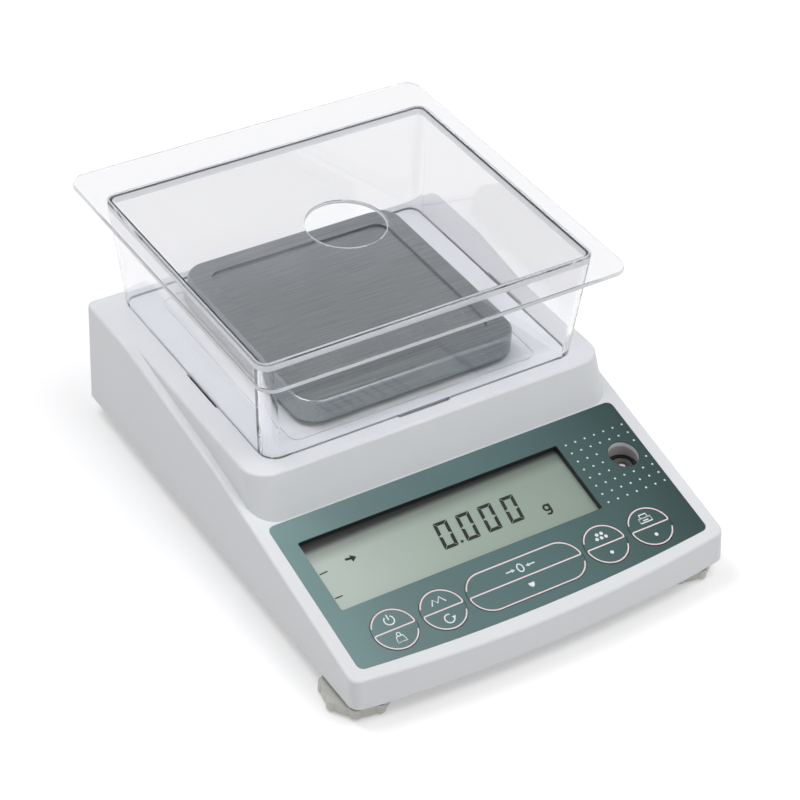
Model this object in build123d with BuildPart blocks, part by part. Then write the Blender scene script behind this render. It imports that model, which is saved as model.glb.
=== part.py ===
from build123d import *
import os
from math import cos, radians, sin, sqrt, tan

os.makedirs("parts", exist_ok=True)

# Precision balance with a clear draft shield, in millimetres.
# +Z is up, the operator stands at -Y, and the origin is on the table,
# under the middle of the balance's overall length and width.

# Housing sizes
case_width = 194.0
case_depth = 248.4
case_bottom_z = 8.4
deck_height = 63.0
case_wall = 2.5
shield_overhang = 22.4
front_bow = 6.2
front_lean = 8.3
front_corner_r = 5.0
rear_corner_r = 4.0
rear_foot_cut = 1.6
edge_round = 1.4

# Sloping sides and panel
slope_start_back = 40.5
strip_angle = 8.0
panel_angle = 13.07
panel_foot_z = 43.3
panel_foot_back = 157.5
slope_blend_r = 300.0

# Raised deck that carries the shield
deck_side = 4.7
deck_draft_x = 1.0
deck_front_back = 148.8
deck_corner_r = 12.0

# Control panel overlay
overlay_side = 6.5
overlay_length = 83.9
overlay_bow = 4.5
overlay_t = 0.4
overlay_top_gap = 0.5
overlay_corner_r = 3.2
fit_gap = 0.1

# Display window, measured down the slope
window_left_margin = 8.2
window_right_margin = 38.0
window_height = 38.2
window_drop = 12.2
window_corner_r = 1.0
recess_depth = 3.2
bezel_wall = 0.8
bezel_flange = 2.6
glass_t = 2.8
glass_grip = 1.8
board_depth = 9.2
board_t = 1.6
board_left_side = 9.0
board_right_side = 30.0
board_wide_drop = (3.2, 56.0)
board_keys_side = 19.5
board_keys_drop = (50.0, 82.5)
board_post_r = 2.6
board_screw_left = 22.3
board_screw_right = 12.5
board_screw_drops = (6.1, 79.8)
board_screw_r = 1.0
board_screw_head_r = 2.2
board_screw_head_h = 1.4
board_screw_grip = 4.5

# Keys
key_r = 10.4
key_pitch = 24.2
key_side = 23.9
bar_key_gap = 2.5
bar_key_height = 20.4
key_drop = 67.85
key_gap = 0.3
key_proud = 0.25
key_flange_out = 0.6
key_flange_t = 0.8
key_rest_gap = 0.1
key_stem_r = 3.5
key_edge = 0.2
dome_r = 3.2
dome_h = 0.7
dome_gap = 0.7
bar_key_dome_inset = 9.5

# Spirit level
level_side = 11.8
level_drop = 28.8
level_hole_r = 7.05
level_depth = 6.0
level_vial_h = 6.4
level_ring_t = 1.6
level_cup_t = 1.5
level_post_r = 5.0
level_mark_sink = 0.4
level_edge = 0.5

# Weighing pan and what carries it
pan_side = 114.0
pan_top_above_deck = 14.2
pan_skirt = 11.0
pan_corner_r = 12.0
pan_sheet = 0.8
pan_border = 10.0
pan_sink = 1.0
pan_sink_r = 6.0
pan_edge_r = 1.5
pan_back = 73.0
pan_stud_r = 2.0
pan_stud_h = 2.0
pan_inner_r = 0.6
stud_gap = 0.3
buffer_r = 5.0
buffer_h = 3.0
buffer_spacing = 68.0
carrier_plate_t = 2.4
carrier_arm = 14.0
carrier_hub_r = 16.0
carrier_shaft_r = 7.0
carrier_pin_r = 4.0
carrier_pin_h = 10.0
carrier_gap = 0.6
carrier_travel = 0.4
carrier_flange_r = 12.0
carrier_flange_t = 2.0
running_gap = 0.05
collar_bore_r = 15.0
collar_t = 3.0
collar_h = 2.5
collar_edge = 0.6

# Draft shield and lid
shield_side = 11.3
shield_foot_depth = 136.3
shield_foot_r = 8.0
shield_flare = 5.0
shield_rim_depth = 144.6
shield_rim_r = 6.0
shield_wall = 2.6
shield_height = 54.2
flange_out = 7.2
flange_depth = 180.4
flange_front_margin = 15.6
flange_r = 8.0
flange_t = 2.0
lid_gap = 0.3
lid_ledge = 1.1
lid_t = 2.0
finger_hole_r = 18.5
finger_hole_shift = 1.4
shield_edge = 0.5
tab_width = 26.0
tab_t = 1.6
tab_depth = 4.0
tab_side_offset = -10.8
tab_front_offset = -1.2
slot_gap = 0.5
slot_show = 0.9
tab_inset = 0.6
groove_back = 74.2
groove_side = 16.7
groove_depth = 117.0
groove_line = 1.0
groove_sink = 0.6
groove_r = 5.0

# Base tray and feet
tray_t = 3.0
tray_drop = 1.0
tray_gap = 0.3
tray_rim_t = 1.6
tray_rim_h = 6.0
rib_t = 1.6
rib_drop = 3.0
rib_inset = 20.3
foot_side = 12.5
foot_back = 225.0
foot_pad_r = 12.0
foot_pad_h = 1.2
knob_r = 15.2
knob_lobe = 1.4
knob_h = 4.8
knob_lobes = 8
knob_lobe_r = 3.1
knob_turn = 11.0
pad_boss_r = 4.0
pad_boss_h = 1.8
stem_r = 3.0
stem_reach = 12.0
insert_r = 4.5
foot_boss_r = 6.0
foot_boss_h = 9.6
rear_foot_side = 21.0
rear_foot_back = 22.0
rear_foot_r = 9.0
rear_pad_h = 4.4
rear_pad_sink = 1.0
rear_pedestal_wall = 2.0

# Case screws
case_screw_sides = (9.5, 25.0)
case_screw_back = (9.5, 133.0)
screw_r = 1.5
screw_head_r = 2.9
screw_head_h = 1.6
screw_sink = 1.8
screw_grip = 10.0
screw_boss_r = 4.5
pilot_gap = 0.1

# Load cell
cell_width = 38.0
cell_length = 64.0
cell_height = 38.0
cell_behind_pin = 16.0
cell_undercut = 1.0
cell_link_t = 4.4
cell_slot = 1.6
cell_front_column = 14.0
cell_split = 28.0
cell_neck = 0.8
cell_groove_r = 3.5
cell_window_r = 5.0
cell_edge = 0.8
cell_plate_t = 4.0
cell_plate_width = 62.0
cell_plate_length = 110.0
cell_plate_behind_pin = 18.0
cell_boss_h = 2.0
cell_boss_r = 5.0
cell_screw_x = 25.5
cell_screw_inset = 8.0
cell_screw_r = 2.0
cell_screw_head_r = 3.2
cell_screw_head_h = 2.4
magnet_r = 17.0
magnet_h = 20.0
magnet_wall = 4.0
magnet_core_r = 8.0
magnet_ahead = 66.5
coil_gap = 1.2
coil_dip = 12.0
coil_cap = 2.0
lever_t = 3.0
lever_h = 6.0
lever_rise = 1.6
lever_width = 6.0
lever_grip = 22.0
lever_tip = 28.0
sensor_size = (8.0, 14.0)
sensor_x = -26.0
sensor_rise = 3.0
sensor_gap = 2.0

# Main board and its sockets
main_side = 22.0
main_depth = 42.0
main_rear_gap = 4.5
main_t = 1.6
post_h = 8.6
post_r = 3.5
post_inset = 5.0
jack_side = 13.0
jack_width = 9.0
jack_height = 11.0
jack_length = 14.0
jack_bore_r = 3.2
jack_pin_r = 1.0
jack_bore_depth = 9.0
jack_recess = 0.5
port_side = 31.0
port_flange_width = 30.8
port_flange_height = 12.5
port_flange_t = 1.0
port_face_width = 19.0
port_face_height = 10.0
port_face_out = 1.5
port_body_length = 9.0
port_screw_pitch = 25.0
port_screw_r = 2.4
port_pin_r = 0.6
port_pin_pitch = 2.76
port_row_pitch = 2.84
port_rise = 1.0
socket_gap = 0.3
chips = ((-24.0, -6.0, 14.0, 14.0, 2.0), (8.0, -9.0, 10.0, 8.0, 1.6), (-2.0, 9.0, 16.0, 7.0, 2.4))
capacitors = ((-31.0, 8.0, 5.0, 12.0), (13.0, -8.0, 4.0, 9.0), (9.0, 6.0, 4.0, 9.0))
ribbon_width = 24.0
ribbon_t = 0.8
ribbon_gap = 7.0
ribbon_bend_r = 4.0
ribbon_lift = 2.4
plug_width = 27.0
plug_t = 4.0
plug_h = 4.8
plug_drop = 16.0
plug_inset = 5.0

# Places worked out from the sizes above
overlay_width = case_width - 2 * overlay_side
deck_top_width = case_width - 2 * deck_side
window_left = window_left_margin - overlay_width / 2
window_width = overlay_width - window_left_margin - window_right_margin
level_x = overlay_width / 2 - level_side
key_outer_x = overlay_width / 2 - key_side
bar_key_width = 2 * (key_outer_x - key_pitch - key_r - bar_key_gap)
bar_key_dome_x = bar_key_width / 2 - bar_key_dome_inset
foot_x = case_width / 2 - foot_side
rear_foot_x = case_width / 2 - rear_foot_side
shield_foot_width = deck_top_width - 2 * shield_side
shield_rim_width = shield_foot_width + 2 * shield_flare
flange_width = shield_rim_width + 2 * flange_out
groove_width = shield_foot_width - 2 * groove_side
rib_x = groove_width / 2 - rib_inset
main_width = case_width - 2 * main_side
jack_x = jack_side - main_width / 2
port_x = main_width / 2 - port_side
ribbon_x = -(cell_plate_width / 2 + ribbon_gap + ribbon_width / 2)
overall_length = case_depth + shield_overhang
front_y = -overall_length / 2
rear_y = front_y + case_depth
pan_y = rear_y - pan_back
deck_front_y = rear_y - deck_front_back
panel_foot_y = rear_y - panel_foot_back
slope_start_y = rear_y - slope_start_back
foot_y = rear_y - foot_back
rear_foot_y = rear_y - rear_foot_back
tray_bottom_z = case_bottom_z - tray_drop
tray_top_z = tray_bottom_z + tray_t
pan_top_z = deck_height + pan_top_above_deck
pan_low_z = pan_top_z - pan_skirt
pan_under_z = pan_top_z - pan_sink - pan_sheet
carrier_top_z = pan_under_z - buffer_h
flange_z = deck_height + shield_height - flange_t
rim_y = rear_y + shield_overhang - flange_depth + flange_front_margin + shield_rim_depth / 2
lid_width = shield_rim_width - 2 * (shield_wall - lid_ledge)
lid_depth = shield_rim_depth - 2 * (shield_wall - lid_ledge)
lid_r = shield_rim_r - (shield_wall - lid_ledge)
cell_low_z = tray_top_z + cell_boss_h + cell_plate_t
cell_top_z = cell_low_z + cell_height
cell_rear_y = pan_y + cell_behind_pin
cell_front_y = cell_rear_y - cell_length
magnet_y = pan_y - magnet_ahead
main_y = rear_y - case_wall - main_rear_gap - main_depth / 2
main_low_z = tray_top_z + post_h
main_top_z = main_low_z + main_t
level_y = panel_foot_y - (overlay_top_gap + level_drop) * cos(radians(panel_angle))
level_top_z = panel_foot_z + (level_y - panel_foot_y) * tan(radians(panel_angle)) - level_depth
level_low_z = level_top_z - level_vial_h
key_x = {
    "power_key": -key_outer_x,
    "mode_key": -key_outer_x + key_pitch,
    "tare_key": 0.0,
    "count_key": key_outer_x - key_pitch,
    "print_key": key_outer_x,
}
key_gap_x = key_outer_x - key_pitch / 2
board_screws = [
    (window_left + board_screw_left, board_screw_drops[0]),
    (window_left + window_width - board_screw_right, board_screw_drops[0]),
    (-key_gap_x, board_screw_drops[1]),
    (key_gap_x, board_screw_drops[1]),
]
case_screw_places = [
    (turn * (case_width / 2 - side), rear_y - back)
    for side, back in zip(case_screw_sides, case_screw_back) for turn in (-1, 1)
]
main_post_places = [
    (side * (main_width / 2 - post_inset), main_y + end * (main_depth / 2 - post_inset))
    for side in (-1, 1) for end in (-1, 1)
]
cell_plate_y = pan_y + cell_plate_behind_pin - cell_plate_length / 2
cell_screw_places = [
    (side * cell_screw_x, cell_plate_y + end * (cell_plate_length / 2 - cell_screw_inset))
    for side in (-1, 1) for end in (-1, 1)
]
buffer_places = [
    (side * buffer_spacing / 2, pan_y + end * buffer_spacing / 2)
    for side in (-1, 1) for end in (-1, 1)
]
deck_draft_y = (deck_front_y - panel_foot_y) / (deck_height - panel_foot_z)
deck_draft_side = deck_draft_x / (deck_height - panel_foot_z)
panel_slope = tan(radians(panel_angle))
strip_slope = tan(radians(strip_angle))

# The panel's own frame lies at the foot of the deck, with y up the slope
panel = Plane(
    origin=(0, panel_foot_y, panel_foot_z),
    x_dir=(1, 0, 0),
    z_dir=(0, -sin(radians(panel_angle)), cos(radians(panel_angle))),
)


def panel_z(y):
    """Height of the panel's surface at a distance along the balance."""
    return panel_foot_z + (y - panel_foot_y) * panel_slope


def deck_section(z, wall):
    """Half width and front edge of the deck at a height, inside a wall."""
    below = deck_height - z
    half_width = deck_top_width / 2 + below * deck_draft_side - wall
    front = deck_front_y - below * deck_draft_y + wall
    return half_width, front


def rim_edges(form):
    """Edges round the top of the wedge, without the lines across it."""
    rim = []
    for edge in form.edges():
        middle = edge @ 0.5
        upright = abs((edge % 0.5).Z) > 0.9
        across = abs((edge % 0.5).X) > 0.99 and abs(middle.X) < 1
        at_end = middle.Y > rear_y - 1 or middle.Y < front_y + front_bow + 12
        if middle.Z > case_bottom_z and not upright and (at_end or not across):
            rim.append(edge)
    return rim


def deck_block(wall):
    """The raised deck, tapered to its top, or its cavity inside a wall."""
    deck_rear = slope_start_y + 8
    top_z = deck_height - wall
    with BuildPart() as block:
        for z in (panel_foot_z - 12, top_z):
            half, front = deck_section(z, wall)
            with BuildSketch(Plane.XY.offset(z)):
                with Locations((0, (front + deck_rear) / 2)):
                    RectangleRounded(2 * half, deck_rear - front, deck_corner_r - wall)
        loft(ruled=True)
        if wall == 0:
            rim = block.faces().sort_by(Axis.Z)[-1].edges()
            fillet(rim.filter_by(lambda edge: (edge @ 0.5).Y < deck_rear - 1),
                   radius=edge_round)
    return block.part


def housing_form(wall, low_z):
    """The housing's form above a height, drawn in by a wall on every side."""
    half_width = case_width / 2 - wall
    under = -40.0
    reach = 2 * case_depth
    far_front = front_y - case_depth / 4
    bend_y = (deck_height - strip_slope * slope_start_y - panel_foot_z
              + panel_slope * panel_foot_y) / (panel_slope - strip_slope)
    deck = deck_block(wall)

    with BuildPart() as form:
        # Side view, drawn long at the front and below, then trimmed
        with BuildSketch(Plane.YZ) as side_view:
            with BuildLine():
                Polyline(
                    (rear_y, under),
                    (rear_y, deck_height),
                    (slope_start_y, deck_height),
                    (bend_y, panel_z(bend_y)),
                    (far_front, panel_z(far_front)),
                    (far_front, under),
                    close=True,
                )
            make_face()
            bend = side_view.vertices().sort_by(
                lambda v: abs(v.X - bend_y) + abs(v.Y - panel_z(bend_y)))[0]
            fillet(bend, radius=slope_blend_r)
            if wall > 0:
                offset(amount=-wall, kind=Kind.INTERSECTION)
        extrude(amount=half_width, both=True)

        # Plan view, with the bowed and leaning front
        lean = radians(front_lean)
        plan = Plane(origin=(0, front_y, case_bottom_z), x_dir=(1, 0, 0),
                     z_dir=(0, sin(lean), cos(lean)))
        with BuildSketch(plan) as plan_view:
            with BuildLine():
                Polyline((-case_width / 2, front_bow), (-case_width / 2, reach),
                         (case_width / 2, reach), (case_width / 2, front_bow))
                ThreePointArc((-case_width / 2, front_bow), (0, 0),
                              (case_width / 2, front_bow))
            make_face()
            fillet(plan_view.sketch_local.vertices().group_by(Axis.Y)[0],
                   radius=front_corner_r)
            if wall > 0:
                offset(amount=-wall, kind=Kind.INTERSECTION)
        extrude(amount=reach, both=True, mode=Mode.INTERSECT)

        # Upright rear corners and the soft rim round the top
        if wall == 0:
            fillet(form.edges().filter_by(Axis.Z).group_by(Axis.Y)[-1],
                   radius=rear_corner_r)
            fillet(rim_edges(form), radius=edge_round)

        # Raised deck with its sloping front
        add(deck)

        # Everything below the lower edge is trimmed away
        with BuildSketch(Plane.XY.offset(low_z)):
            Rectangle(reach, 2 * reach)
        extrude(amount=-reach, mode=Mode.SUBTRACT)
    return form.part


def rounded_block(width, depth, radius, low_z, high_z, centre=(0, 0)):
    """An upright block with rounded corners between two heights."""
    with BuildPart() as block:
        with BuildSketch(Plane.XY.offset(low_z)):
            with Locations(centre):
                RectangleRounded(width, depth, radius)
        extrude(amount=high_z - low_z)
    return block.part


def posts(places, radius, low_z, high_z):
    """Upright round posts, or holes, between two heights."""
    with BuildPart() as group:
        with BuildSketch(Plane.XY.offset(low_z)):
            with Locations(*places):
                Circle(radius)
        extrude(amount=high_z - low_z)
    return group.part


def slope_posts(places, radius, depth, height):
    """Round posts square to the panel, from a depth under it, upwards."""
    with BuildPart() as group:
        with BuildSketch(panel.offset(-depth)):
            with Locations(*[(x, -drop) for x, drop in places]):
                Circle(radius)
        extrude(amount=height)
    return group.part


def window_block(grow, depth, height):
    """The display window's outline grown all round, square to the panel."""
    middle = (window_left + window_width / 2,
              -(overlay_top_gap + window_drop + window_height / 2))
    with BuildPart() as block:
        with BuildSketch(panel.offset(-depth)):
            with Locations(middle):
                RectangleRounded(window_width + 2 * grow, window_height + 2 * grow,
                                 window_corner_r + grow)
        extrude(amount=height)
    return block.part


def key_outline(name, grow):
    """Adds a key's outline, grown all round, to a sketch on the panel."""
    with Locations((key_x[name], -(overlay_top_gap + key_drop))):
        if name == "tare_key":
            RectangleRounded(bar_key_width + 2 * grow, bar_key_height + 2 * grow,
                             bar_key_height / 2 + grow - 0.01)
        else:
            Circle(key_r + grow)


def keys_block(grow, depth, height):
    """All the keys' outlines, grown all round, square to the panel."""
    with BuildPart() as block:
        with BuildSketch(panel.offset(-depth)):
            for name in key_x:
                key_outline(name, grow)
        extrude(amount=height)
    return block.part


def overlay_block(grow, depth, height):
    """The overlay's bowed outline, grown all round, square to the panel."""
    half = overlay_width / 2
    top = -overlay_top_gap
    low = top - overlay_length
    with BuildPart() as block:
        with BuildSketch(panel.offset(-depth)) as outline:
            with BuildLine():
                Polyline((-half, low + overlay_bow), (-half, top), (half, top),
                         (half, low + overlay_bow))
                ThreePointArc((-half, low + overlay_bow), (0, low), (half, low + overlay_bow))
            make_face()
            fillet(outline.sketch_local.vertices(), radius=overlay_corner_r)
            if grow > 0:
                offset(amount=grow)
        extrude(amount=height)
    return block.part


def dome_places():
    """Where the domes lie under the keys, x across and y up the slope."""
    drop = overlay_top_gap + key_drop
    places = [(x, drop) for name, x in key_x.items() if name != "tare_key"]
    return places + [(-bar_key_dome_x, drop), (bar_key_dome_x, drop)]


def tapered_walls(inset):
    """The shield's four walls from the deck up, as one tapered block."""
    with BuildPart() as block:
        with BuildSketch(Plane.XY.offset(deck_height)):
            with Locations((0, pan_y)):
                RectangleRounded(shield_foot_width - 2 * inset,
                                 shield_foot_depth - 2 * inset, shield_foot_r - inset)
        with BuildSketch(Plane.XY.offset(deck_height + shield_height)):
            with Locations((0, rim_y)):
                RectangleRounded(shield_rim_width - 2 * inset,
                                 shield_rim_depth - 2 * inset, shield_rim_r - inset)
        loft(ruled=True)
    return block.part


def shield_tabs(inner_gap, outer_gap, end_gap, low_z, high_z):
    """The shield's locating tabs, or the slots for them in the deck."""
    across = shield_foot_width / 2 - tab_inset - tab_t / 2
    along = shield_foot_depth / 2 - tab_inset - tab_t / 2
    shift = (outer_gap - inner_gap) / 2
    length = tab_width + 2 * end_gap
    thick = tab_t + inner_gap + outer_gap
    with BuildPart() as tabs:
        with BuildSketch(Plane.XY.offset(low_z)):
            for side in (-1, 1):
                with Locations((side * (across + shift), pan_y + tab_side_offset)):
                    Rectangle(thick, length)
                with Locations((tab_front_offset, pan_y + side * (along + shift))):
                    Rectangle(length, thick)
        extrude(amount=high_z - low_z)
    return tabs.part


def screw(head_r, head_h, shank_r, length, cross):
    """A pan head screw along Z, with its head's underside at zero."""
    with BuildPart() as form:
        Cylinder(shank_r, length, align=(Align.CENTER, Align.CENTER, Align.MIN))
        Cylinder(head_r, head_h, align=(Align.CENTER, Align.CENTER, Align.MAX))
        with Locations((0, 0, -head_h)):
            for width, depth in ((cross, cross / 4), (cross / 4, cross)):
                Box(width, depth, head_h / 2, align=(Align.CENTER, Align.CENTER, Align.MIN),
                    mode=Mode.SUBTRACT)
    return form.part


outer_form = housing_form(0, case_bottom_z)
cavity_form = housing_form(case_wall, case_bottom_z - 1)
tray_form = housing_form(case_wall + tray_gap, tray_bottom_z)
tray_hollow = housing_form(case_wall + tray_gap + tray_rim_t, tray_top_z)
inner_z = deck_height - case_wall
port_z = main_top_z + port_rise + port_flange_height / 2
jack_z = main_top_z + jack_height / 2
case_screw_low = tray_bottom_z + screw_sink

# Upper case, one moulding with the panel, the deck and the side slopes
bosses = posts(case_screw_places, screw_boss_r, tray_top_z, deck_height - case_wall / 2)
panel_posts = slope_posts(board_screws, board_post_r, board_depth, board_depth - case_wall / 2)
with BuildPart() as upper_case:
    add(outer_form)
    add(cavity_form, mode=Mode.SUBTRACT)
    chamfer(upper_case.edges().filter_by(Axis.X).group_by(Axis.Y)[-1].sort_by(Axis.Z)[0],
            length=rear_foot_cut)

    # Screw bosses, display posts and two ribs under the deck
    add(bosses)
    add(panel_posts)
    for side in (-1, 1):
        with Locations((side * rib_x, pan_y, deck_height - case_wall / 2)):
            Box(rib_t, groove_depth, rib_drop + case_wall / 2,
                align=(Align.CENTER, Align.CENTER, Align.MAX))
    add(posts(case_screw_places, screw_r + pilot_gap, tray_top_z,
              case_screw_low + screw_grip + 2), mode=Mode.SUBTRACT)
    add(slope_posts(board_screws, board_screw_r + pilot_gap, board_depth, board_screw_grip),
        mode=Mode.SUBTRACT)

    # Panel: the overlay's bed, the window, the keys and the level
    add(overlay_block(fit_gap, overlay_t, 4), mode=Mode.SUBTRACT)
    add(window_block(bezel_wall + fit_gap, 6, 10), mode=Mode.SUBTRACT)
    add(keys_block(key_gap, 6, 10), mode=Mode.SUBTRACT)
    add(posts([(level_x, level_y)], level_hole_r, level_top_z, deck_height),
        mode=Mode.SUBTRACT)

    # Deck: a collar round the pan's shaft, the pan's outline and the shield's slots
    add(posts([(0, pan_y)], collar_bore_r + collar_t, inner_z, deck_height + collar_h))
    fillet(upper_case.edges().filter_by(GeomType.CIRCLE).group_by(Axis.Z)[-1],
           radius=collar_edge)
    add(posts([(0, pan_y)], collar_bore_r, inner_z - 10, deck_height + 10),
        mode=Mode.SUBTRACT)
    with BuildSketch(Plane.XY.offset(deck_height - groove_sink)):
        with Locations((0, rear_y - groove_back)):
            RectangleRounded(groove_width + groove_line, groove_depth + groove_line,
                             groove_r + groove_line / 2)
            RectangleRounded(groove_width - groove_line, groove_depth - groove_line,
                             groove_r - groove_line / 2, mode=Mode.SUBTRACT)
    extrude(amount=groove_sink + 1, mode=Mode.SUBTRACT)
    add(shield_tabs(slot_gap, tab_inset + slot_show, slot_gap, inner_z - 3, deck_height + 1),
        mode=Mode.SUBTRACT)

    # Rear wall: openings for the power socket and the data port
    with BuildSketch(Plane.XZ.offset(-rear_y - 1)):
        with Locations((jack_x, jack_z)):
            Rectangle(jack_width + 2 * socket_gap, jack_height + 2 * socket_gap)
        with Locations((port_x, port_z)):
            Rectangle(port_face_width + 2 * socket_gap, port_face_height + 2 * socket_gap)
            with GridLocations(port_screw_pitch, 0, 2, 1):
                Circle(port_screw_r / 2 + socket_gap)
    extrude(amount=case_wall + 2, mode=Mode.SUBTRACT)
upper_case.part.label = "upper_case"
export_step(upper_case.part, "parts/upper_case.step")

# Base tray, standing inside the case's lower edge
foot_places = [(-foot_x, foot_y), (foot_x, foot_y)]
rear_foot_places = [(-rear_foot_x, rear_foot_y), (rear_foot_x, rear_foot_y)]
pedestal_low = rear_pad_h - rear_pad_sink
with BuildPart() as base_tray:
    add(tray_form)
    with BuildSketch(Plane.XY.offset(tray_top_z + tray_rim_h)):
        Rectangle(2 * case_width, 2 * case_depth)
    extrude(amount=deck_height, mode=Mode.SUBTRACT)
    add(tray_hollow, mode=Mode.SUBTRACT)
    add(posts(cell_screw_places, cell_boss_r, tray_top_z - 1, tray_top_z + cell_boss_h))
    add(posts(main_post_places, post_r, tray_top_z - 1, main_low_z))
    add(posts(foot_places, foot_boss_r, tray_top_z - 1, tray_top_z + foot_boss_h))
    add(posts([(level_x, level_y)], level_post_r, tray_top_z - 1, level_low_z - level_cup_t))
    add(posts(rear_foot_places, rear_foot_r + rear_pedestal_wall, pedestal_low,
              tray_bottom_z + 1))
    add(posts(rear_foot_places, rear_foot_r + fit_gap, pedestal_low, rear_pad_h),
        mode=Mode.SUBTRACT)
    add(posts(cell_screw_places, cell_screw_r + pilot_gap, tray_bottom_z + 1, deck_height),
        mode=Mode.SUBTRACT)
    add(posts(main_post_places, screw_r + pilot_gap, tray_top_z, deck_height),
        mode=Mode.SUBTRACT)
    add(posts(foot_places, insert_r, tray_bottom_z, deck_height), mode=Mode.SUBTRACT)
    add(posts(case_screw_places, screw_r + pilot_gap, tray_bottom_z, deck_height),
        mode=Mode.SUBTRACT)
    add(posts(case_screw_places, screw_head_r + 2 * pilot_gap, tray_bottom_z, case_screw_low),
        mode=Mode.SUBTRACT)
base_tray.part.label = "base_tray"
export_step(base_tray.part, "parts/base_tray.step")

# Screws from below through the tray into the case's bosses
case_screw = screw(screw_head_r, screw_head_h, screw_r, screw_grip, 3.2)
with BuildPart() as case_screws:
    for place in case_screw_places:
        add(case_screw.moved(Location((*place, case_screw_low))))
case_screws.part.label = "case_screws"
export_step(case_screws.part, "parts/case_screws.step")

# Panel overlay, a thin sheet with its cut-outs
with BuildPart() as panel_overlay:
    add(overlay_block(0, overlay_t, overlay_t))
    add(window_block(0, 6, 10), mode=Mode.SUBTRACT)
    add(keys_block(key_gap, 6, 10), mode=Mode.SUBTRACT)
    add(posts([(level_x, level_y)], level_hole_r, level_top_z, deck_height),
        mode=Mode.SUBTRACT)
panel_overlay.part.label = "panel_overlay"
export_step(panel_overlay.part, "parts/panel_overlay.step")

# Display: bezel, glass, backlight, board with its screws and the key domes
with BuildPart() as display_bezel:
    add(window_block(bezel_wall, case_wall + 1, case_wall + 1 - overlay_t))
    add(window_block(bezel_flange, board_depth, board_depth - case_wall))
    add(window_block(0, recess_depth, 10), mode=Mode.SUBTRACT)
    add(window_block(glass_grip + fit_gap, board_depth, board_depth - recess_depth),
        mode=Mode.SUBTRACT)
display_bezel.part.label = "display_bezel"
export_step(display_bezel.part, "parts/display_bezel.step")

with BuildPart() as lcd_glass:
    add(window_block(glass_grip, recess_depth + glass_t, glass_t))
lcd_glass.part.label = "lcd_glass"
export_step(lcd_glass.part, "parts/lcd_glass.step")

with BuildPart() as lcd_backlight:
    add(window_block(glass_grip, board_depth, board_depth - recess_depth - glass_t))
lcd_backlight.part.label = "lcd_backlight"
export_step(lcd_backlight.part, "parts/lcd_backlight.step")

with BuildPart() as display_board:
    with BuildSketch(panel.offset(-board_depth)):
        keys_end = case_width / 2 - board_keys_side
        for low_x, high_x, drops in (
            (board_left_side - case_width / 2, case_width / 2 - board_right_side, board_wide_drop),
            (-keys_end, keys_end, board_keys_drop),
        ):
            with Locations(((low_x + high_x) / 2, -sum(drops) / 2)):
                Rectangle(high_x - low_x, drops[1] - drops[0])
    extrude(amount=-board_t)
    add(slope_posts(board_screws, board_screw_r + pilot_gap, board_depth + board_t + 1, 4),
        mode=Mode.SUBTRACT)
display_board.part.label = "display_board"
export_step(display_board.part, "parts/display_board.step")

board_screw = screw(board_screw_head_r, board_screw_head_h, board_screw_r, board_screw_grip - 0.5, 2.4)
with BuildPart() as display_screws:
    for x, drop in board_screws:
        add(panel.offset(-board_depth - board_t).from_local_coords(
            board_screw.moved(Location((x, -drop, 0)))))
display_screws.part.label = "display_screws"
export_step(display_screws.part, "parts/display_screws.step")

with BuildPart() as key_domes:
    add(slope_posts(dome_places(), dome_r, board_depth, dome_h))
key_domes.part.label = "key_domes"
export_step(key_domes.part, "parts/key_domes.step")

# Keys, each held under the case's wall by its flange
flange_top = case_wall + key_rest_gap
flange_low = flange_top + key_flange_t
stem_low = board_depth - dome_h - dome_gap
for name, x in key_x.items():
    stems = (-bar_key_dome_x, bar_key_dome_x) if name == "tare_key" else (x,)
    with BuildPart() as key:
        with BuildSketch(panel.offset(-flange_top)):
            key_outline(name, 0)
        extrude(amount=flange_top + key_proud)
        chamfer(key.faces().sort_by(Axis.Z)[-1].edges(), length=key_edge)
        with BuildSketch(panel.offset(-flange_low)):
            key_outline(name, key_gap + key_flange_out)
        extrude(amount=key_flange_t)
        with BuildSketch(panel.offset(-stem_low)):
            with Locations(*[(stem, -(overlay_top_gap + key_drop)) for stem in stems]):
                Circle(key_stem_r)
        extrude(amount=stem_low - flange_low)
    key.part.label = name
    export_step(key.part, f"parts/{name}.step")

# Spirit level: cup, black ring and glass vial
level_place = [(level_x, level_y)]
under_panel = panel.offset(-case_wall)
with BuildPart() as level_cup:
    add(posts(level_place, level_hole_r + level_cup_t, level_low_z - level_cup_t, deck_height))
    split(bisect_by=under_panel, keep=Keep.BOTTOM)
    add(posts(level_place, level_hole_r, level_low_z, deck_height), mode=Mode.SUBTRACT)
level_cup.part.label = "level_cup"
export_step(level_cup.part, "parts/level_cup.step")

with BuildPart() as level_ring:
    add(posts(level_place, level_hole_r - fit_gap, level_low_z, level_top_z))
    add(posts(level_place, level_hole_r - fit_gap - level_ring_t, level_low_z, level_top_z),
        mode=Mode.SUBTRACT)
level_ring.part.label = "level_ring"
export_step(level_ring.part, "parts/level_ring.step")

vial_r = level_hole_r - level_ring_t - 2 * fit_gap
with BuildPart() as level_vial:
    add(posts(level_place, vial_r, level_low_z, level_top_z - level_mark_sink))
    fillet(level_vial.faces().sort_by(Axis.Z)[-1].edges(), radius=level_edge)
level_vial.part.label = "level_vial"
export_step(level_vial.part, "parts/level_vial.step")

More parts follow.
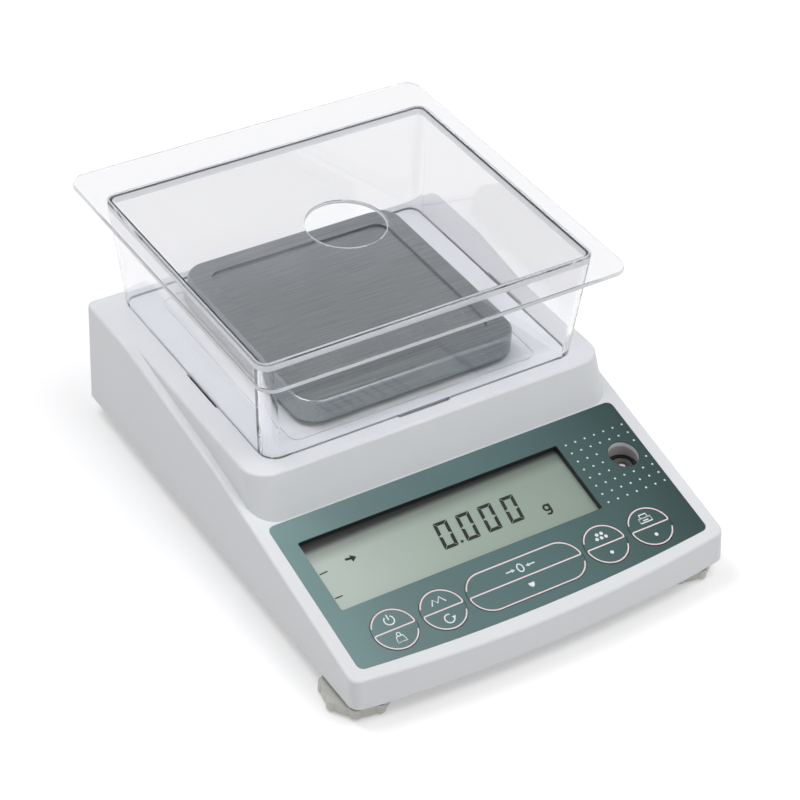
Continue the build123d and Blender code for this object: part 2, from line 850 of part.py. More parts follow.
# Weighing pan, a pressed sheet with a sunken middle and studs for the buffers
pan_centre = (0, pan_y)
inner_side = pan_side - 2 * pan_sheet
sunk_side = pan_side - 2 * pan_border
with BuildPart() as weighing_pan:
    add(rounded_block(pan_side, pan_side, pan_corner_r, pan_low_z, pan_top_z, pan_centre))
    fillet(weighing_pan.faces().sort_by(Axis.Z)[-1].edges(), radius=pan_edge_r)
    add(rounded_block(sunk_side, sunk_side, pan_sink_r, pan_top_z - pan_sink,
                      pan_top_z + 1, pan_centre), mode=Mode.SUBTRACT)
    add(rounded_block(inner_side, inner_side, pan_corner_r - pan_sheet, pan_low_z,
                      pan_under_z, pan_centre), mode=Mode.SUBTRACT)
    with BuildSketch(Plane.XY.offset(pan_under_z)):
        with Locations(pan_centre):
            RectangleRounded(inner_side - 2 * pan_inner_r, inner_side - 2 * pan_inner_r,
                             pan_corner_r - pan_sheet - pan_inner_r)
            RectangleRounded(sunk_side + 2 * pan_sheet, sunk_side + 2 * pan_sheet,
                             pan_sink_r + pan_sheet, mode=Mode.SUBTRACT)
    extrude(amount=pan_sink, mode=Mode.SUBTRACT)
    add(posts(buffer_places, pan_stud_r, pan_under_z - pan_stud_h, pan_under_z + pan_sheet / 2))
weighing_pan.part.label = "weighing_pan"
export_step(weighing_pan.part, "parts/weighing_pan.step")

# Rubber buffers between the pan and its carrier
with BuildPart() as pan_buffers:
    add(posts(buffer_places, buffer_r, carrier_top_z, pan_under_z))
    add(posts(buffer_places, pan_stud_r + stud_gap, carrier_top_z, pan_under_z),
        mode=Mode.SUBTRACT)
pan_buffers.part.label = "pan_buffers"
export_step(pan_buffers.part, "parts/pan_buffers.step")

# Pan carrier: a four-armed spider on a shaft with a flange and a pin
carrier_low_z = carrier_top_z - carrier_plate_t
flange_low_z = cell_top_z + carrier_gap
pin_low_z = flange_low_z - carrier_pin_h
with BuildPart() as pan_carrier:
    with BuildSketch(Plane.XY.offset(carrier_low_z)):
        with Locations(pan_centre):
            Circle(carrier_hub_r)
            for turn in (-45, 45):
                SlotCenterToCenter(buffer_spacing * sqrt(2), carrier_arm, rotation=turn)
    extrude(amount=carrier_plate_t)
    add(posts([pan_centre], carrier_shaft_r, flange_low_z, carrier_low_z + 1))
    add(posts([pan_centre], carrier_flange_r, flange_low_z, flange_low_z + carrier_flange_t))
    add(posts([pan_centre], carrier_pin_r, pin_low_z, flange_low_z))
    chamfer(pan_carrier.faces().sort_by(Axis.Z)[0].edges(), length=cell_edge / 2)
pan_carrier.part.label = "pan_carrier"
export_step(pan_carrier.part, "parts/pan_carrier.step")

# Load cell: one block with two thin links, a pan side and a fixed side
link_z = (cell_low_z + cell_undercut + cell_link_t, cell_top_z - cell_link_t)
column_y = cell_front_y + cell_front_column
split_y = cell_rear_y - cell_split
neck_inset = cell_groove_r + cell_slot
middle_z = (cell_low_z + cell_top_z) / 2
with BuildPart() as load_cell_block:
    with BuildSketch(Plane.YZ):
        with Locations(((cell_front_y + cell_rear_y) / 2, middle_z)):
            Rectangle(cell_length, cell_height)
        # Gap under the moving side
        with Locations((cell_rear_y, cell_low_z)):
            Rectangle(cell_length - cell_front_column, 2 * cell_undercut,
                      align=(Align.MAX, Align.CENTER), mode=Mode.SUBTRACT)
        # The two long slots and the split between them
        for z, edge in zip(link_z, (Align.MIN, Align.MAX)):
            with Locations((column_y, z)):
                Rectangle(split_y + cell_slot - column_y, cell_slot,
                          align=(Align.MIN, edge), mode=Mode.SUBTRACT)
        with Locations((split_y, middle_z)):
            Rectangle(cell_slot, link_z[1] - link_z[0], align=(Align.MIN, Align.CENTER),
                      mode=Mode.SUBTRACT)
        # Round grooves that thin each link to its necks
        for y in (column_y + neck_inset, split_y + cell_slot - neck_inset):
            with Locations((y, link_z[0] - cell_neck - cell_groove_r),
                           (y, link_z[1] + cell_neck + cell_groove_r)):
                Circle(cell_groove_r, mode=Mode.SUBTRACT)
        with Locations(((column_y + split_y) / 2, middle_z)):
            Circle(cell_window_r, mode=Mode.SUBTRACT)
    extrude(amount=cell_width / 2, both=True)
    chamfer(load_cell_block.edges().filter_by(Axis.Z).group_by(Axis.Y)[-1], length=cell_edge)
    add(posts([pan_centre], carrier_pin_r + running_gap,
              pin_low_z - carrier_travel - carrier_gap, cell_top_z + 1), mode=Mode.SUBTRACT)
load_cell_block.part.label = "load_cell_block"
export_step(load_cell_block.part, "parts/load_cell_block.step")

plate_low_z = cell_low_z - cell_plate_t
with BuildPart() as cell_plate:
    add(rounded_block(cell_plate_width, cell_plate_length, cell_boss_r, plate_low_z,
                      cell_low_z, (0, cell_plate_y)))
    add(posts(cell_screw_places, cell_screw_r + pilot_gap, plate_low_z, cell_low_z),
        mode=Mode.SUBTRACT)
cell_plate.part.label = "cell_plate"
export_step(cell_plate.part, "parts/cell_plate.step")

# Screws from above, placed with their heads' undersides on what they hold
cell_screw = screw(cell_screw_head_r, cell_screw_head_h, cell_screw_r, cell_plate_t + cell_boss_h + 1, 3.6)
with BuildPart() as cell_screws:
    for x, y in cell_screw_places:
        add(cell_screw.moved(Location((x, y, cell_low_z), (180, 0, 0))))
cell_screws.part.label = "cell_screws"
export_step(cell_screws.part, "parts/cell_screws.step")

# Magnet pot with its core, and the coil that dips into it
magnet_place = [(0, magnet_y)]
magnet_top_z = cell_low_z + magnet_h
with BuildPart() as magnet_pot:
    add(posts(magnet_place, magnet_r, cell_low_z, magnet_top_z))
    add(posts(magnet_place, magnet_r - magnet_wall, cell_low_z + magnet_wall, magnet_top_z),
        mode=Mode.SUBTRACT)
    add(posts(magnet_place, magnet_core_r, cell_low_z + magnet_wall, magnet_top_z))
magnet_pot.part.label = "magnet_pot"
export_step(magnet_pot.part, "parts/magnet_pot.step")

cap_low_z = magnet_top_z + lever_rise
lever_low_z = cap_low_z + coil_cap
coil_outer_r = magnet_r - magnet_wall - coil_gap
coil_inner_r = magnet_core_r + coil_gap
with BuildPart() as cell_coil:
    add(posts(magnet_place, coil_outer_r, magnet_top_z - coil_dip, lever_low_z))
    add(posts(magnet_place, coil_inner_r, magnet_top_z - coil_dip, cap_low_z),
        mode=Mode.SUBTRACT)
cell_coil.part.label = "cell_coil"
export_step(cell_coil.part, "parts/cell_coil.step")

# Lever along the block's side, bent across the coil into the sensor's fork
with BuildPart() as lever_arm:
    arm_low_y = magnet_y - lever_width / 2
    with BuildSketch(Plane.XY.offset(lever_low_z)):
        with Locations((cell_width / 2, arm_low_y)):
            Rectangle(lever_t, cell_front_y + lever_grip - arm_low_y, align=(Align.MIN, Align.MIN))
    extrude(amount=lever_h)
    with BuildSketch(Plane.XY.offset(lever_low_z)):
        with Locations((-lever_tip, arm_low_y)):
            Rectangle(lever_tip + cell_width / 2 + lever_t, lever_width,
                      align=(Align.MIN, Align.MIN))
    extrude(amount=lever_t)
lever_arm.part.label = "lever_arm"
export_step(lever_arm.part, "parts/lever_arm.step")

with BuildPart() as position_sensor:
    sensor_top_z = lever_low_z + lever_t + sensor_rise
    with BuildSketch(Plane.YZ.offset(sensor_x)):
        with Locations((magnet_y, cell_low_z)):
            Rectangle(sensor_size[1], sensor_top_z - cell_low_z, align=(Align.CENTER, Align.MIN))
        with Locations((magnet_y, sensor_top_z)):
            Rectangle(lever_width + 2 * sensor_gap, 2 * (sensor_top_z - lever_low_z + sensor_gap),
                      mode=Mode.SUBTRACT)
    extrude(amount=sensor_size[0] / 2, both=True)
position_sensor.part.label = "position_sensor"
export_step(position_sensor.part, "parts/position_sensor.step")

# Main board with its parts and the two rear sockets
with BuildPart() as main_board:
    with BuildSketch(Plane.XY.offset(main_low_z)):
        with Locations((0, main_y)):
            Rectangle(main_width, main_depth)
    extrude(amount=main_t)
    add(posts(main_post_places, screw_r + pilot_gap, main_low_z, main_top_z),
        mode=Mode.SUBTRACT)
main_board.part.label = "main_board"
export_step(main_board.part, "parts/main_board.step")

main_screw = screw(screw_head_r, screw_head_h, screw_r, post_h - 1, 3.2)
with BuildPart() as main_screws:
    for x, y in main_post_places:
        add(main_screw.moved(Location((x, y, main_top_z), (180, 0, 0))))
main_screws.part.label = "main_screws"
export_step(main_screws.part, "parts/main_screws.step")

with BuildPart() as board_components:
    for x, y, width, depth, height in chips:
        with Locations((x, main_y + y, main_top_z)):
            Box(width, depth, height, align=(Align.CENTER, Align.CENTER, Align.MIN))
    for side, y, radius, height in capacitors:
        x = main_width / 2 - side if side > 0 else -main_width / 2 - side
        with Locations((x, main_y + y, main_top_z)):
            Cylinder(radius, height, align=(Align.CENTER, Align.CENTER, Align.MIN))
board_components.part.label = "board_components"
export_step(board_components.part, "parts/board_components.step")

jack_face_y = rear_y - jack_recess
with BuildPart() as dc_jack:
    with BuildSketch(Plane.XZ.offset(-jack_face_y)):
        with Locations((jack_x, jack_z)):
            Rectangle(jack_width, jack_height)
    extrude(amount=jack_length)
    for radius, mode in ((jack_bore_r, Mode.SUBTRACT), (jack_pin_r, Mode.ADD)):
        with BuildSketch(Plane.XZ.offset(-jack_face_y)):
            with Locations((jack_x, jack_z)):
                Circle(radius)
        extrude(amount=jack_bore_depth, mode=mode)
dc_jack.part.label = "dc_jack"
export_step(dc_jack.part, "parts/dc_jack.step")

port_flange_y = rear_y - case_wall
with BuildPart() as data_port:
    # Shell through the wall, flange behind it and the body on the board
    with BuildSketch(Plane.XZ.offset(-rear_y - port_face_out)) as shell:
        with Locations((port_x, port_z)):
            Trapezoid(port_face_width, port_face_height, 80, rotation=180)
        fillet(shell.vertices(), radius=port_rise)
    extrude(amount=port_face_out + case_wall)
    with BuildSketch(Plane.XZ.offset(-port_flange_y)):
        with Locations((port_x, port_z)):
            Rectangle(port_flange_width, port_flange_height)
            with GridLocations(port_screw_pitch, 0, 2, 1):
                Circle(port_screw_r / 2 + fit_gap, mode=Mode.SUBTRACT)
    extrude(amount=port_flange_t)
    with BuildSketch(Plane.XZ.offset(-port_flange_y + port_flange_t)):
        with Locations((port_x, port_z - port_rise / 2)):
            Rectangle(port_face_width, port_flange_height + port_rise)
    extrude(amount=port_body_length)
    # Two rows of contact holes in the face
    with BuildSketch(Plane.XZ.offset(-rear_y - port_face_out)):
        for count, row in ((5, 1), (4, -1)):
            with Locations((port_x, port_z + row * port_row_pitch / 2)):
                with GridLocations(port_pin_pitch, 0, count, 1):
                    Circle(port_pin_r)
    extrude(amount=port_body_length / 2, mode=Mode.SUBTRACT)
data_port.part.label = "data_port"
export_step(data_port.part, "parts/data_port.step")

with BuildPart() as port_screwlocks:
    # Hexagon outside the wall and a shank through it and the flange
    with BuildSketch(Plane.XZ.offset(-rear_y)):
        with Locations((port_x, port_z)):
            with GridLocations(port_screw_pitch, 0, 2, 1):
                RegularPolygon(port_screw_r, 6)
    extrude(amount=-2 * port_screw_r)
    with BuildSketch(Plane.XZ.offset(-rear_y)):
        with Locations((port_x, port_z)):
            with GridLocations(port_screw_pitch, 0, 2, 1):
                Circle(port_screw_r / 2)
    extrude(amount=case_wall + 2 * port_screw_r)
port_screwlocks.part.label = "port_screwlocks"
export_step(port_screwlocks.part, "parts/port_screwlocks.step")

# Flat cable from the main board to the display board, with its two plugs
plug_rear_y = main_y - main_depth / 2 + plug_inset
run_z = tray_top_z + ribbon_lift
plug_plane = panel.offset(-board_depth - board_t)
plug_face = plug_plane.offset(-plug_h).from_local_coords(Vector(0, -plug_drop, 0))
fall = (plug_face.Z - run_z) * tan(radians(panel_angle))
with BuildPart() as display_cable:
    with BuildSketch(Plane.YZ.offset(ribbon_x - ribbon_width / 2)):
        with BuildLine():
            cable_line = FilletPolyline(
                (plug_rear_y - plug_t, main_top_z + plug_h / 2),
                (plug_rear_y - plug_t - plug_inset - ribbon_bend_r, main_top_z + plug_h / 2),
                (plug_rear_y - plug_t - plug_inset - ribbon_bend_r, run_z),
                (plug_face.Y + fall, run_z),
                (plug_face.Y, plug_face.Z),
                radius=ribbon_bend_r,
            )
        trace(cable_line, line_width=ribbon_t)
    extrude(amount=ribbon_width)
display_cable.part.label = "display_cable"
export_step(display_cable.part, "parts/display_cable.step")

with BuildPart() as cable_plugs:
    with BuildSketch(Plane.XY.offset(main_top_z)):
        with Locations((ribbon_x, plug_rear_y - plug_t / 2)):
            Rectangle(plug_width, plug_t)
    extrude(amount=plug_h)
    with BuildSketch(plug_plane):
        with Locations((ribbon_x, -plug_drop)):
            Rectangle(plug_width, plug_t)
    extrude(amount=-plug_h)
cable_plugs.part.label = "cable_plugs"
export_step(cable_plugs.part, "parts/cable_plugs.step")

# Clear draft shield: four tapered walls, a top flange and the locating tabs
with BuildPart() as draft_shield:
    add(tapered_walls(0))
    flange_y = rear_y + shield_overhang - flange_depth / 2
    add(rounded_block(flange_width, flange_depth, flange_r, flange_z, flange_z + flange_t,
                      (0, flange_y)))
    fillet(draft_shield.faces().sort_by(Axis.Z)[-1].outer_wire().edges(), radius=shield_edge)
    add(tapered_walls(shield_wall), mode=Mode.SUBTRACT)
    add(rounded_block(lid_width + 2 * lid_gap, lid_depth + 2 * lid_gap, lid_r + lid_gap,
                      flange_z + flange_t - lid_t, flange_z + flange_t + 1, (0, rim_y)),
        mode=Mode.SUBTRACT)
    add(shield_tabs(0, 0, 0, deck_height - tab_depth, deck_height + 1))
draft_shield.part.label = "draft_shield"
export_step(draft_shield.part, "parts/draft_shield.step")

# Lid with its finger hole, dropped onto the ledge inside the shield's rim
hole_centre = (0, rim_y + finger_hole_shift)
with BuildPart() as shield_lid:
    add(rounded_block(lid_width, lid_depth, lid_r, flange_z + flange_t - lid_t,
                      flange_z + flange_t, (0, rim_y)))
    add(posts([hole_centre], finger_hole_r, flange_z - 5, flange_z + 10), mode=Mode.SUBTRACT)
    fillet(shield_lid.edges().filter_by(GeomType.CIRCLE).filter_by(
        lambda edge: edge.radius > finger_hole_r - 1), radius=shield_edge)
shield_lid.part.label = "shield_lid"
export_step(shield_lid.part, "parts/shield_lid.step")

# Front feet: a still pad, a knob that turns on it, and a brass insert
knob_low_z = foot_pad_h
knob_top_z = knob_low_z + knob_h
for side, name in ((-1, "left"), (1, "right")):
    place = (side * foot_x, foot_y)
    with BuildPart() as foot_pad:
        add(posts([place], foot_pad_r, 0, foot_pad_h))
        fillet(foot_pad.faces().sort_by(Axis.Z)[0].edges(), radius=foot_pad_h / 2)
        add(posts([place], pad_boss_r, foot_pad_h / 2, foot_pad_h + pad_boss_h))
    foot_pad.part.label = f"{name}_foot_pad"
    export_step(foot_pad.part, f"parts/{name}_foot_pad.step")

    with BuildPart() as foot_knob:
        with BuildSketch(Plane.XY.offset(knob_low_z)):
            with Locations(place):
                Circle(knob_r)
                with PolarLocations(knob_r + knob_lobe - knob_lobe_r, knob_lobes,
                                    start_angle=knob_turn):
                    Circle(knob_lobe_r)
        extrude(amount=knob_h)
        add(posts([place], stem_r, knob_top_z, knob_top_z + stem_reach))
        add(posts([place], pad_boss_r + running_gap, 0, knob_low_z + pad_boss_h + running_gap),
            mode=Mode.SUBTRACT)
    foot_knob.part.label = f"{name}_foot_knob"
    export_step(foot_knob.part, f"parts/{name}_foot_knob.step")

with BuildPart() as foot_inserts:
    insert_low_z = tray_bottom_z + fit_gap
    add(posts(foot_places, insert_r, insert_low_z, tray_top_z + foot_boss_h))
    add(posts(foot_places, stem_r + running_gap, insert_low_z, tray_top_z + foot_boss_h),
        mode=Mode.SUBTRACT)
foot_inserts.part.label = "foot_inserts"
export_step(foot_inserts.part, "parts/foot_inserts.step")

with BuildPart() as rear_feet:
    add(posts(rear_foot_places, rear_foot_r, 0, rear_pad_h))
    fillet(rear_feet.faces().group_by(Axis.Z)[0].edges(), radius=foot_pad_h / 2)
rear_feet.part.label = "rear_feet"
export_step(rear_feet.part, "parts/rear_feet.step")
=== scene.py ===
# %% [markdown]
# # A precision balance, dressed for the camera
#
# The solids of the balance come from the CAD model and stay where they are. This lesson gives every
# piece the finish of the real stuff it is made of, and adds what is printed or drawn on the object:
# the key lines, the dots round the spirit level and the marks of the display. Lengths in the lesson
# are in millimetres until they are placed, because that is how a maker thinks of a balance.

# %% Load the balance
import bmesh
import bpy
import math
from mathutils import Matrix, Vector


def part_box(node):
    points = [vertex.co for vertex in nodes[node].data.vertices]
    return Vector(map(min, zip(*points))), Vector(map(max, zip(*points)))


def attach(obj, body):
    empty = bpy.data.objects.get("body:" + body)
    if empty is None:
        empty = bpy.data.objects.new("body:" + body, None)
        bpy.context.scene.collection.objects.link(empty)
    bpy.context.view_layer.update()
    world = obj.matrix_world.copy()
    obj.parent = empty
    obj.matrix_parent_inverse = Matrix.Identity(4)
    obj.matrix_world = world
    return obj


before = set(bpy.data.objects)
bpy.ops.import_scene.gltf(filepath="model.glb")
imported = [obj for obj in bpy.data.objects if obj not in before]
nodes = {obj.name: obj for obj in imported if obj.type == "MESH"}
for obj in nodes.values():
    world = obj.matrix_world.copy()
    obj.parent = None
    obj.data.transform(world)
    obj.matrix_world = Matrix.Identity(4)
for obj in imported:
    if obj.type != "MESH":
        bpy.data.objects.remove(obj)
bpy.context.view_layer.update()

MM = 0.001
print("pieces of the balance:", len(nodes))

# %% [markdown]
# ## The camera
# The picture of the object was taken from the front left and from above, with a long lens, so that
# parallel edges stay nearly parallel. A camera could be aimed with a Track To constraint, but the
# fitted one is also turned a little about its own axis, so its three axes are written down here:
# where right, down and ahead point. Blender's camera looks along its own minus Z with Y up.

# %% Place the camera
right = Vector((0.845264, -0.532170, 0.048193))
down = Vector((-0.299661, -0.546764, -0.781826))
ahead = Vector((0.442415, 0.646408, -0.621631))
camera_data = bpy.data.cameras.new("long lens")
camera_data.sensor_width = 36.0
camera_data.lens = 110.34
camera = bpy.data.objects.new("camera", camera_data)
turn = Matrix((right, -down, -ahead)).transposed()
camera.matrix_world = Matrix.Translation((-0.48864, -0.72114, 0.73862)) @ turn.to_4x4()
bpy.context.scene.collection.objects.link(camera)
bpy.context.scene.camera = camera
print("lens in mm:", camera_data.lens)
print("looks down by", round(math.degrees(math.asin(-ahead.z)), 1), "degrees")

# %% [markdown]
# ## Colour and nodes
# Colours are written as the hex values that a colour picker shows, and shaders work with linear
# light, so one function turns one into the other. A second small function adds a node with its
# settings and its links, so a finish reads from top to bottom like a recipe.

# %% Helpers for finishes
def linear(code):
    """The linear colour of an sRGB hex value such as #DDE0E3."""
    parts = [int(code[i:i + 2], 16) / 255 for i in (1, 3, 5)]
    return [p / 12.92 if p <= 0.04045 else ((p + 0.055) / 1.055) ** 2.4 for p in parts] + [1.0]


def add_node(tree, kind, links=None, **settings):
    """Adds a node; settings with a capital letter first are sockets, the others are properties."""
    made = tree.nodes.new("ShaderNode" + kind)
    for name, value in settings.items():
        socket = name.replace("_", " ")
        if name[0].isupper():
            made.inputs[socket].default_value = value
        else:
            setattr(made, name, value)
    for socket, source in (links or {}).items():
        tree.links.new(source, made.inputs[socket])
    return made


def begin(name):
    """An empty material, its tree and the object's own coordinates in metres."""
    material = bpy.data.materials.new(name)
    material.use_nodes = True
    material.node_tree.nodes.clear()
    place = add_node(material.node_tree, "TexCoord").outputs["Object"]
    return material, material.node_tree, place


def per_mm(size):
    """How often a pattern of that size in millimetres repeats in a metre."""
    return 1 / (size * MM)


# %% [markdown]
# ## Moulded and cast skins
# Most pieces are moulded or machined with one skin: a colour that is not quite even, a fine grain
# that the tool left, and a gloss that changes a little where hands and the mould touched it. The
# grain could be sculpted, but it is a hundredth of a millimetre deep, so a bump of noise is enough.
# The recipe below takes the colours, the grain size in millimetres and the gloss, and each piece
# of the balance gives it its own numbers.

# %% A recipe for a skin with grain
def skin(name, pale, dark, grain, depth, gloss, patch, metallic=0.0):
    """A skin with colours from dark to pale in patches, a grain and a roughness between two values."""
    material, tree, place = begin(name)
    clouds = add_node(tree, "TexNoise", {"Vector": place}, Scale=per_mm(patch), Detail=3.0)
    colour = add_node(tree, "MixRGB", {"Fac": clouds.outputs["Fac"]},
                      Color1=linear(dark), Color2=linear(pale))
    pits = add_node(tree, "TexNoise", {"Vector": place}, Scale=per_mm(grain), Detail=2.0)
    relief = add_node(tree, "Bump", {"Height": pits.outputs["Fac"]}, Strength=1.0, Distance=depth * MM)
    wear = add_node(tree, "MapRange", {"Value": clouds.outputs["Fac"]}, From_Min=0.3, From_Max=0.7,
                    To_Min=gloss[0], To_Max=gloss[1])
    surface = add_node(tree, "BsdfPrincipled", {
        "Base Color": colour.outputs["Color"], "Roughness": wear.outputs["Result"],
        "Normal": relief.outputs["Normal"]}, Metallic=metallic, IOR=1.5)
    add_node(tree, "OutputMaterial", {"Surface": surface.outputs["BSDF"]})
    return material


# %% [markdown]
# The case is ABS, moulded in a tool with a spark-eroded skin. That gives the eye a pale, slightly
# cool grey that stays matt on the flats and only shines softly along the rounded edges. The real
# grain is about 0.2 mm; it is drawn at 0.6 mm so that it still shows. The feet are the same kind of
# plastic in a warmer grey, and the tray underneath is a shade darker.

# %% Plastics of the housing
# slot: (real stuff, pale, dark, grain in mm, its depth in mm, gloss, patches in mm)
mouldings = {
    "case_plastic": ("ABS moulded, pale grey", "#E5E7E9", "#E0E2E5", 0.6, 0.012, (0.42, 0.52), 30.0),
    "tray_plastic": ("ABS moulded, grey tray", "#C9CBCD", "#C1C3C6", 0.6, 0.015, (0.45, 0.55), 30.0),
    "foot_plastic": ("ABS moulded, warm grey foot", "#DAD9D3", "#C6C5BF", 0.9, 0.03, (0.4, 0.5), 6.0),
    "cup_plastic": ("Polystyrene moulded, taupe cup", "#B9B3B5", "#A59FA1", 0.7, 0.01, (0.35, 0.5), 4.0),
    "black_plastic": ("ABS moulded, black", "#17191B", "#101214", 0.6, 0.008, (0.35, 0.5), 8.0),
    "chip_plastic": ("Epoxy moulded, black", "#26282B", "#1B1C1F", 0.4, 0.008, (0.5, 0.65), 4.0),
    "backlight_plastic": ("Polycarbonate moulded, white", "#F1F2EF", "#E7E9E5", 0.8, 0.01,
                          (0.4, 0.5), 30.0),
    "buffer_rubber": ("Silicone moulded, grey", "#A8A9AB", "#9A9B9D", 0.5, 0.02, (0.6, 0.7), 5.0),
    "foot_rubber": ("Rubber moulded, dark grey", "#4A4B4D", "#3C3D3F", 0.5, 0.03, (0.65, 0.8), 5.0),
}
finishes = {}
for slot, (name, pale, dark, grain, depth, gloss, patch) in mouldings.items():
    finishes[slot] = skin(name, pale, dark, grain, depth, gloss, patch)
print("moulded skins:", len(finishes))

# %% [markdown]
# Metals keep the default index of refraction and get their look from colour and gloss. Machined
# aluminium is pale and a little blue, plated steel is brighter, iron is darker and warmer, copper
# wire is red under its varnish and brass is yellow. Their tool marks are 0.3 to 0.9 mm apart.

# %% Metals inside and underneath
# slot: (real stuff, pale, dark, tool marks in mm, gloss)
metals = {
    "screw_steel": ("Steel, zinc plated", "#C9CBCE", "#AEB1B5", 0.4, (0.28, 0.4)),
    "dome_steel": ("Stainless spring steel", "#BFC1C3", "#A7A9AC", 0.3, (0.2, 0.3)),
    "carrier_aluminium": ("Aluminium, die cast", "#C3C6C9", "#AFB2B6", 0.9, (0.4, 0.55)),
    "cell_aluminium": ("Aluminium, milled", "#CCCFD2", "#B9BCC0", 0.5, (0.25, 0.38)),
    "magnet_iron": ("Soft iron, turned", "#97928C", "#827D78", 0.5, (0.35, 0.5)),
    "coil_copper": ("Copper wire, varnished", "#C5794B", "#A75F36", 0.3, (0.25, 0.35)),
    "port_steel": ("Steel, tin plated", "#D0D2D3", "#B9BBBD", 0.4, (0.22, 0.32)),
    "insert_brass": ("Brass, turned", "#CDAE6B", "#B59453", 0.4, (0.25, 0.35)),
}
for slot, (name, pale, dark, grain, gloss) in metals.items():
    finishes[slot] = skin(name, pale, dark, grain, depth=0.01, gloss=gloss, patch=7.0, metallic=1.0)
print("metals:", ", ".join(name for name, *_ in metals.values()))

# %% [markdown]
# ## The overlay film
# The panel is a polyester film, printed on its back and bonded into a pocket of the case. Its teal
# is painted lighter at the left and darker at the right, a painted light and shade for how the light
# falls across the panel. The film's front has a fine velvet grain, so it mirrors the room only as a
# soft veil. The painted shade is a ramp along the object's own X, which runs over the keys too,
# because they were cut from the same film.

# %% Film with a printed fade
def film_with_painted_shade(name, grain, gloss):
    """Teal film, painted lighter at the left and darker at the right for how the light falls on it."""
    material, tree, place = begin(name)
    axes = add_node(tree, "SeparateXYZ", {"Vector": place})
    low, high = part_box("panel_overlay")
    along = add_node(tree, "MapRange", {"Value": axes.outputs["X"]}, From_Min=low.x, From_Max=high.x)
    # painted light and shade: the teal is lighter at the left and darker at the right
    painted_light_fade = add_node(tree, "ValToRGB", {"Fac": along.outputs["Result"]})
    painted_shade_stops = painted_light_fade.color_ramp.elements
    painted_shade_stops[0].color, painted_shade_stops[1].color = linear("#749191"), linear("#284241")
    for share, ink in ((0.18, "#637D7C"), (0.33, "#587473"), (0.5, "#526F6E"), (0.83, "#3D5958")):
        painted_shade_stops.new(share).color = linear(ink)
    clouds = add_node(tree, "TexNoise", {"Vector": place}, Scale=per_mm(45), Detail=2.0)
    shade = add_node(tree, "MapRange", {"Value": clouds.outputs["Fac"]}, From_Min=0.3, From_Max=0.7,
                     To_Min=0.95, To_Max=1.05)
    # the print's teal times the painted light and shade, and a tone that differs at random
    ink = add_node(tree, "VectorMath", {0: painted_light_fade.outputs["Color"], 1: shade.outputs["Result"]},
                   operation="MULTIPLY")
    velvet = add_node(tree, "TexNoise", {"Vector": place}, Scale=per_mm(grain), Detail=1.0)
    relief = add_node(tree, "Bump", {"Height": velvet.outputs["Fac"]}, Strength=1.0, Distance=0.004 * MM)
    surface = add_node(tree, "BsdfPrincipled", {
        "Base Color": ink.outputs["Vector"], "Normal": relief.outputs["Normal"]},
        Roughness=gloss, IOR=1.55)
    add_node(tree, "OutputMaterial", {"Surface": surface.outputs["BSDF"]})
    return material


finishes["overlay_film"] = film_with_painted_shade("Polyester film, printed teal", 0.5, 0.33)
finishes["key_film"] = film_with_painted_shade("Polyester film, embossed keys", 0.5, 0.3)
print("film finishes ready")

# %% [markdown]
# ## The display
# A liquid crystal display without its own light shows a grey-green mirror foil behind glass. The
# foil is painted a little paler and bluer at the left, a painted light for where more of the room
# falls on it. It lies deep under the glass, so the window's upper edge shades it, and that shadow is
# painted into the foil's colour. The painted shadow is nearly black for 4 mm, grey for 5 more and
# gone after 12, and it is a little wider at the left. The glass is matt, so a weak, rough coat
# stands for it. The marks on it are dark green and nearly black, as crystal segments are.

# %% Display glass and its marks
material, tree, place = begin("Display foil under glass")
axes = add_node(tree, "SeparateXYZ", {"Vector": place})
low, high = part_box("lcd_glass")
along = add_node(tree, "MapRange", {"Value": axes.outputs["X"]}, From_Min=low.x, From_Max=high.x)
# painted light: the foil is paler at the left, where more of the room falls on it
painted_light_fade = add_node(tree, "ValToRGB", {"Fac": along.outputs["Result"]})
painted_light_fade.color_ramp.elements[0].color = linear("#BAC6BD")
painted_light_fade.color_ramp.elements[1].color = linear("#89998D")
painted_light_fade.color_ramp.elements.new(0.5).color = linear("#9BAB9F")
# the painted shadow of the window's upper edge: its reach in mm, its skew, and (mm from the edge, light)
painted_shadow_reach, painted_shadow_skew = 14, 0.024
painted_shadow_stops = ((3.3, 0.03), (4.2, 0.09), (5.4, 0.33), (6.3, 0.53), (7.6, 0.6), (9.0, 0.73),
               (10.2, 0.84), (12.5, 1.0))
from_edge = add_node(tree, "VectorMath", {0: place}, operation="DOT_PRODUCT")
from_edge.inputs[1].default_value = (painted_shadow_skew, -1.0, 0.0)
depth = add_node(tree, "MapRange", {"Value": from_edge.outputs["Value"]},
                 From_Min=-high.y, From_Max=painted_shadow_reach * MM - high.y)
shade = add_node(tree, "ValToRGB", {"Fac": depth.outputs["Result"]})
shade.color_ramp.elements[0].color = (0.02, 0.02, 0.02, 1)
for mm, light in painted_shadow_stops:
    shade.color_ramp.elements.new(mm / painted_shadow_reach).color = (light, light, light, 1)
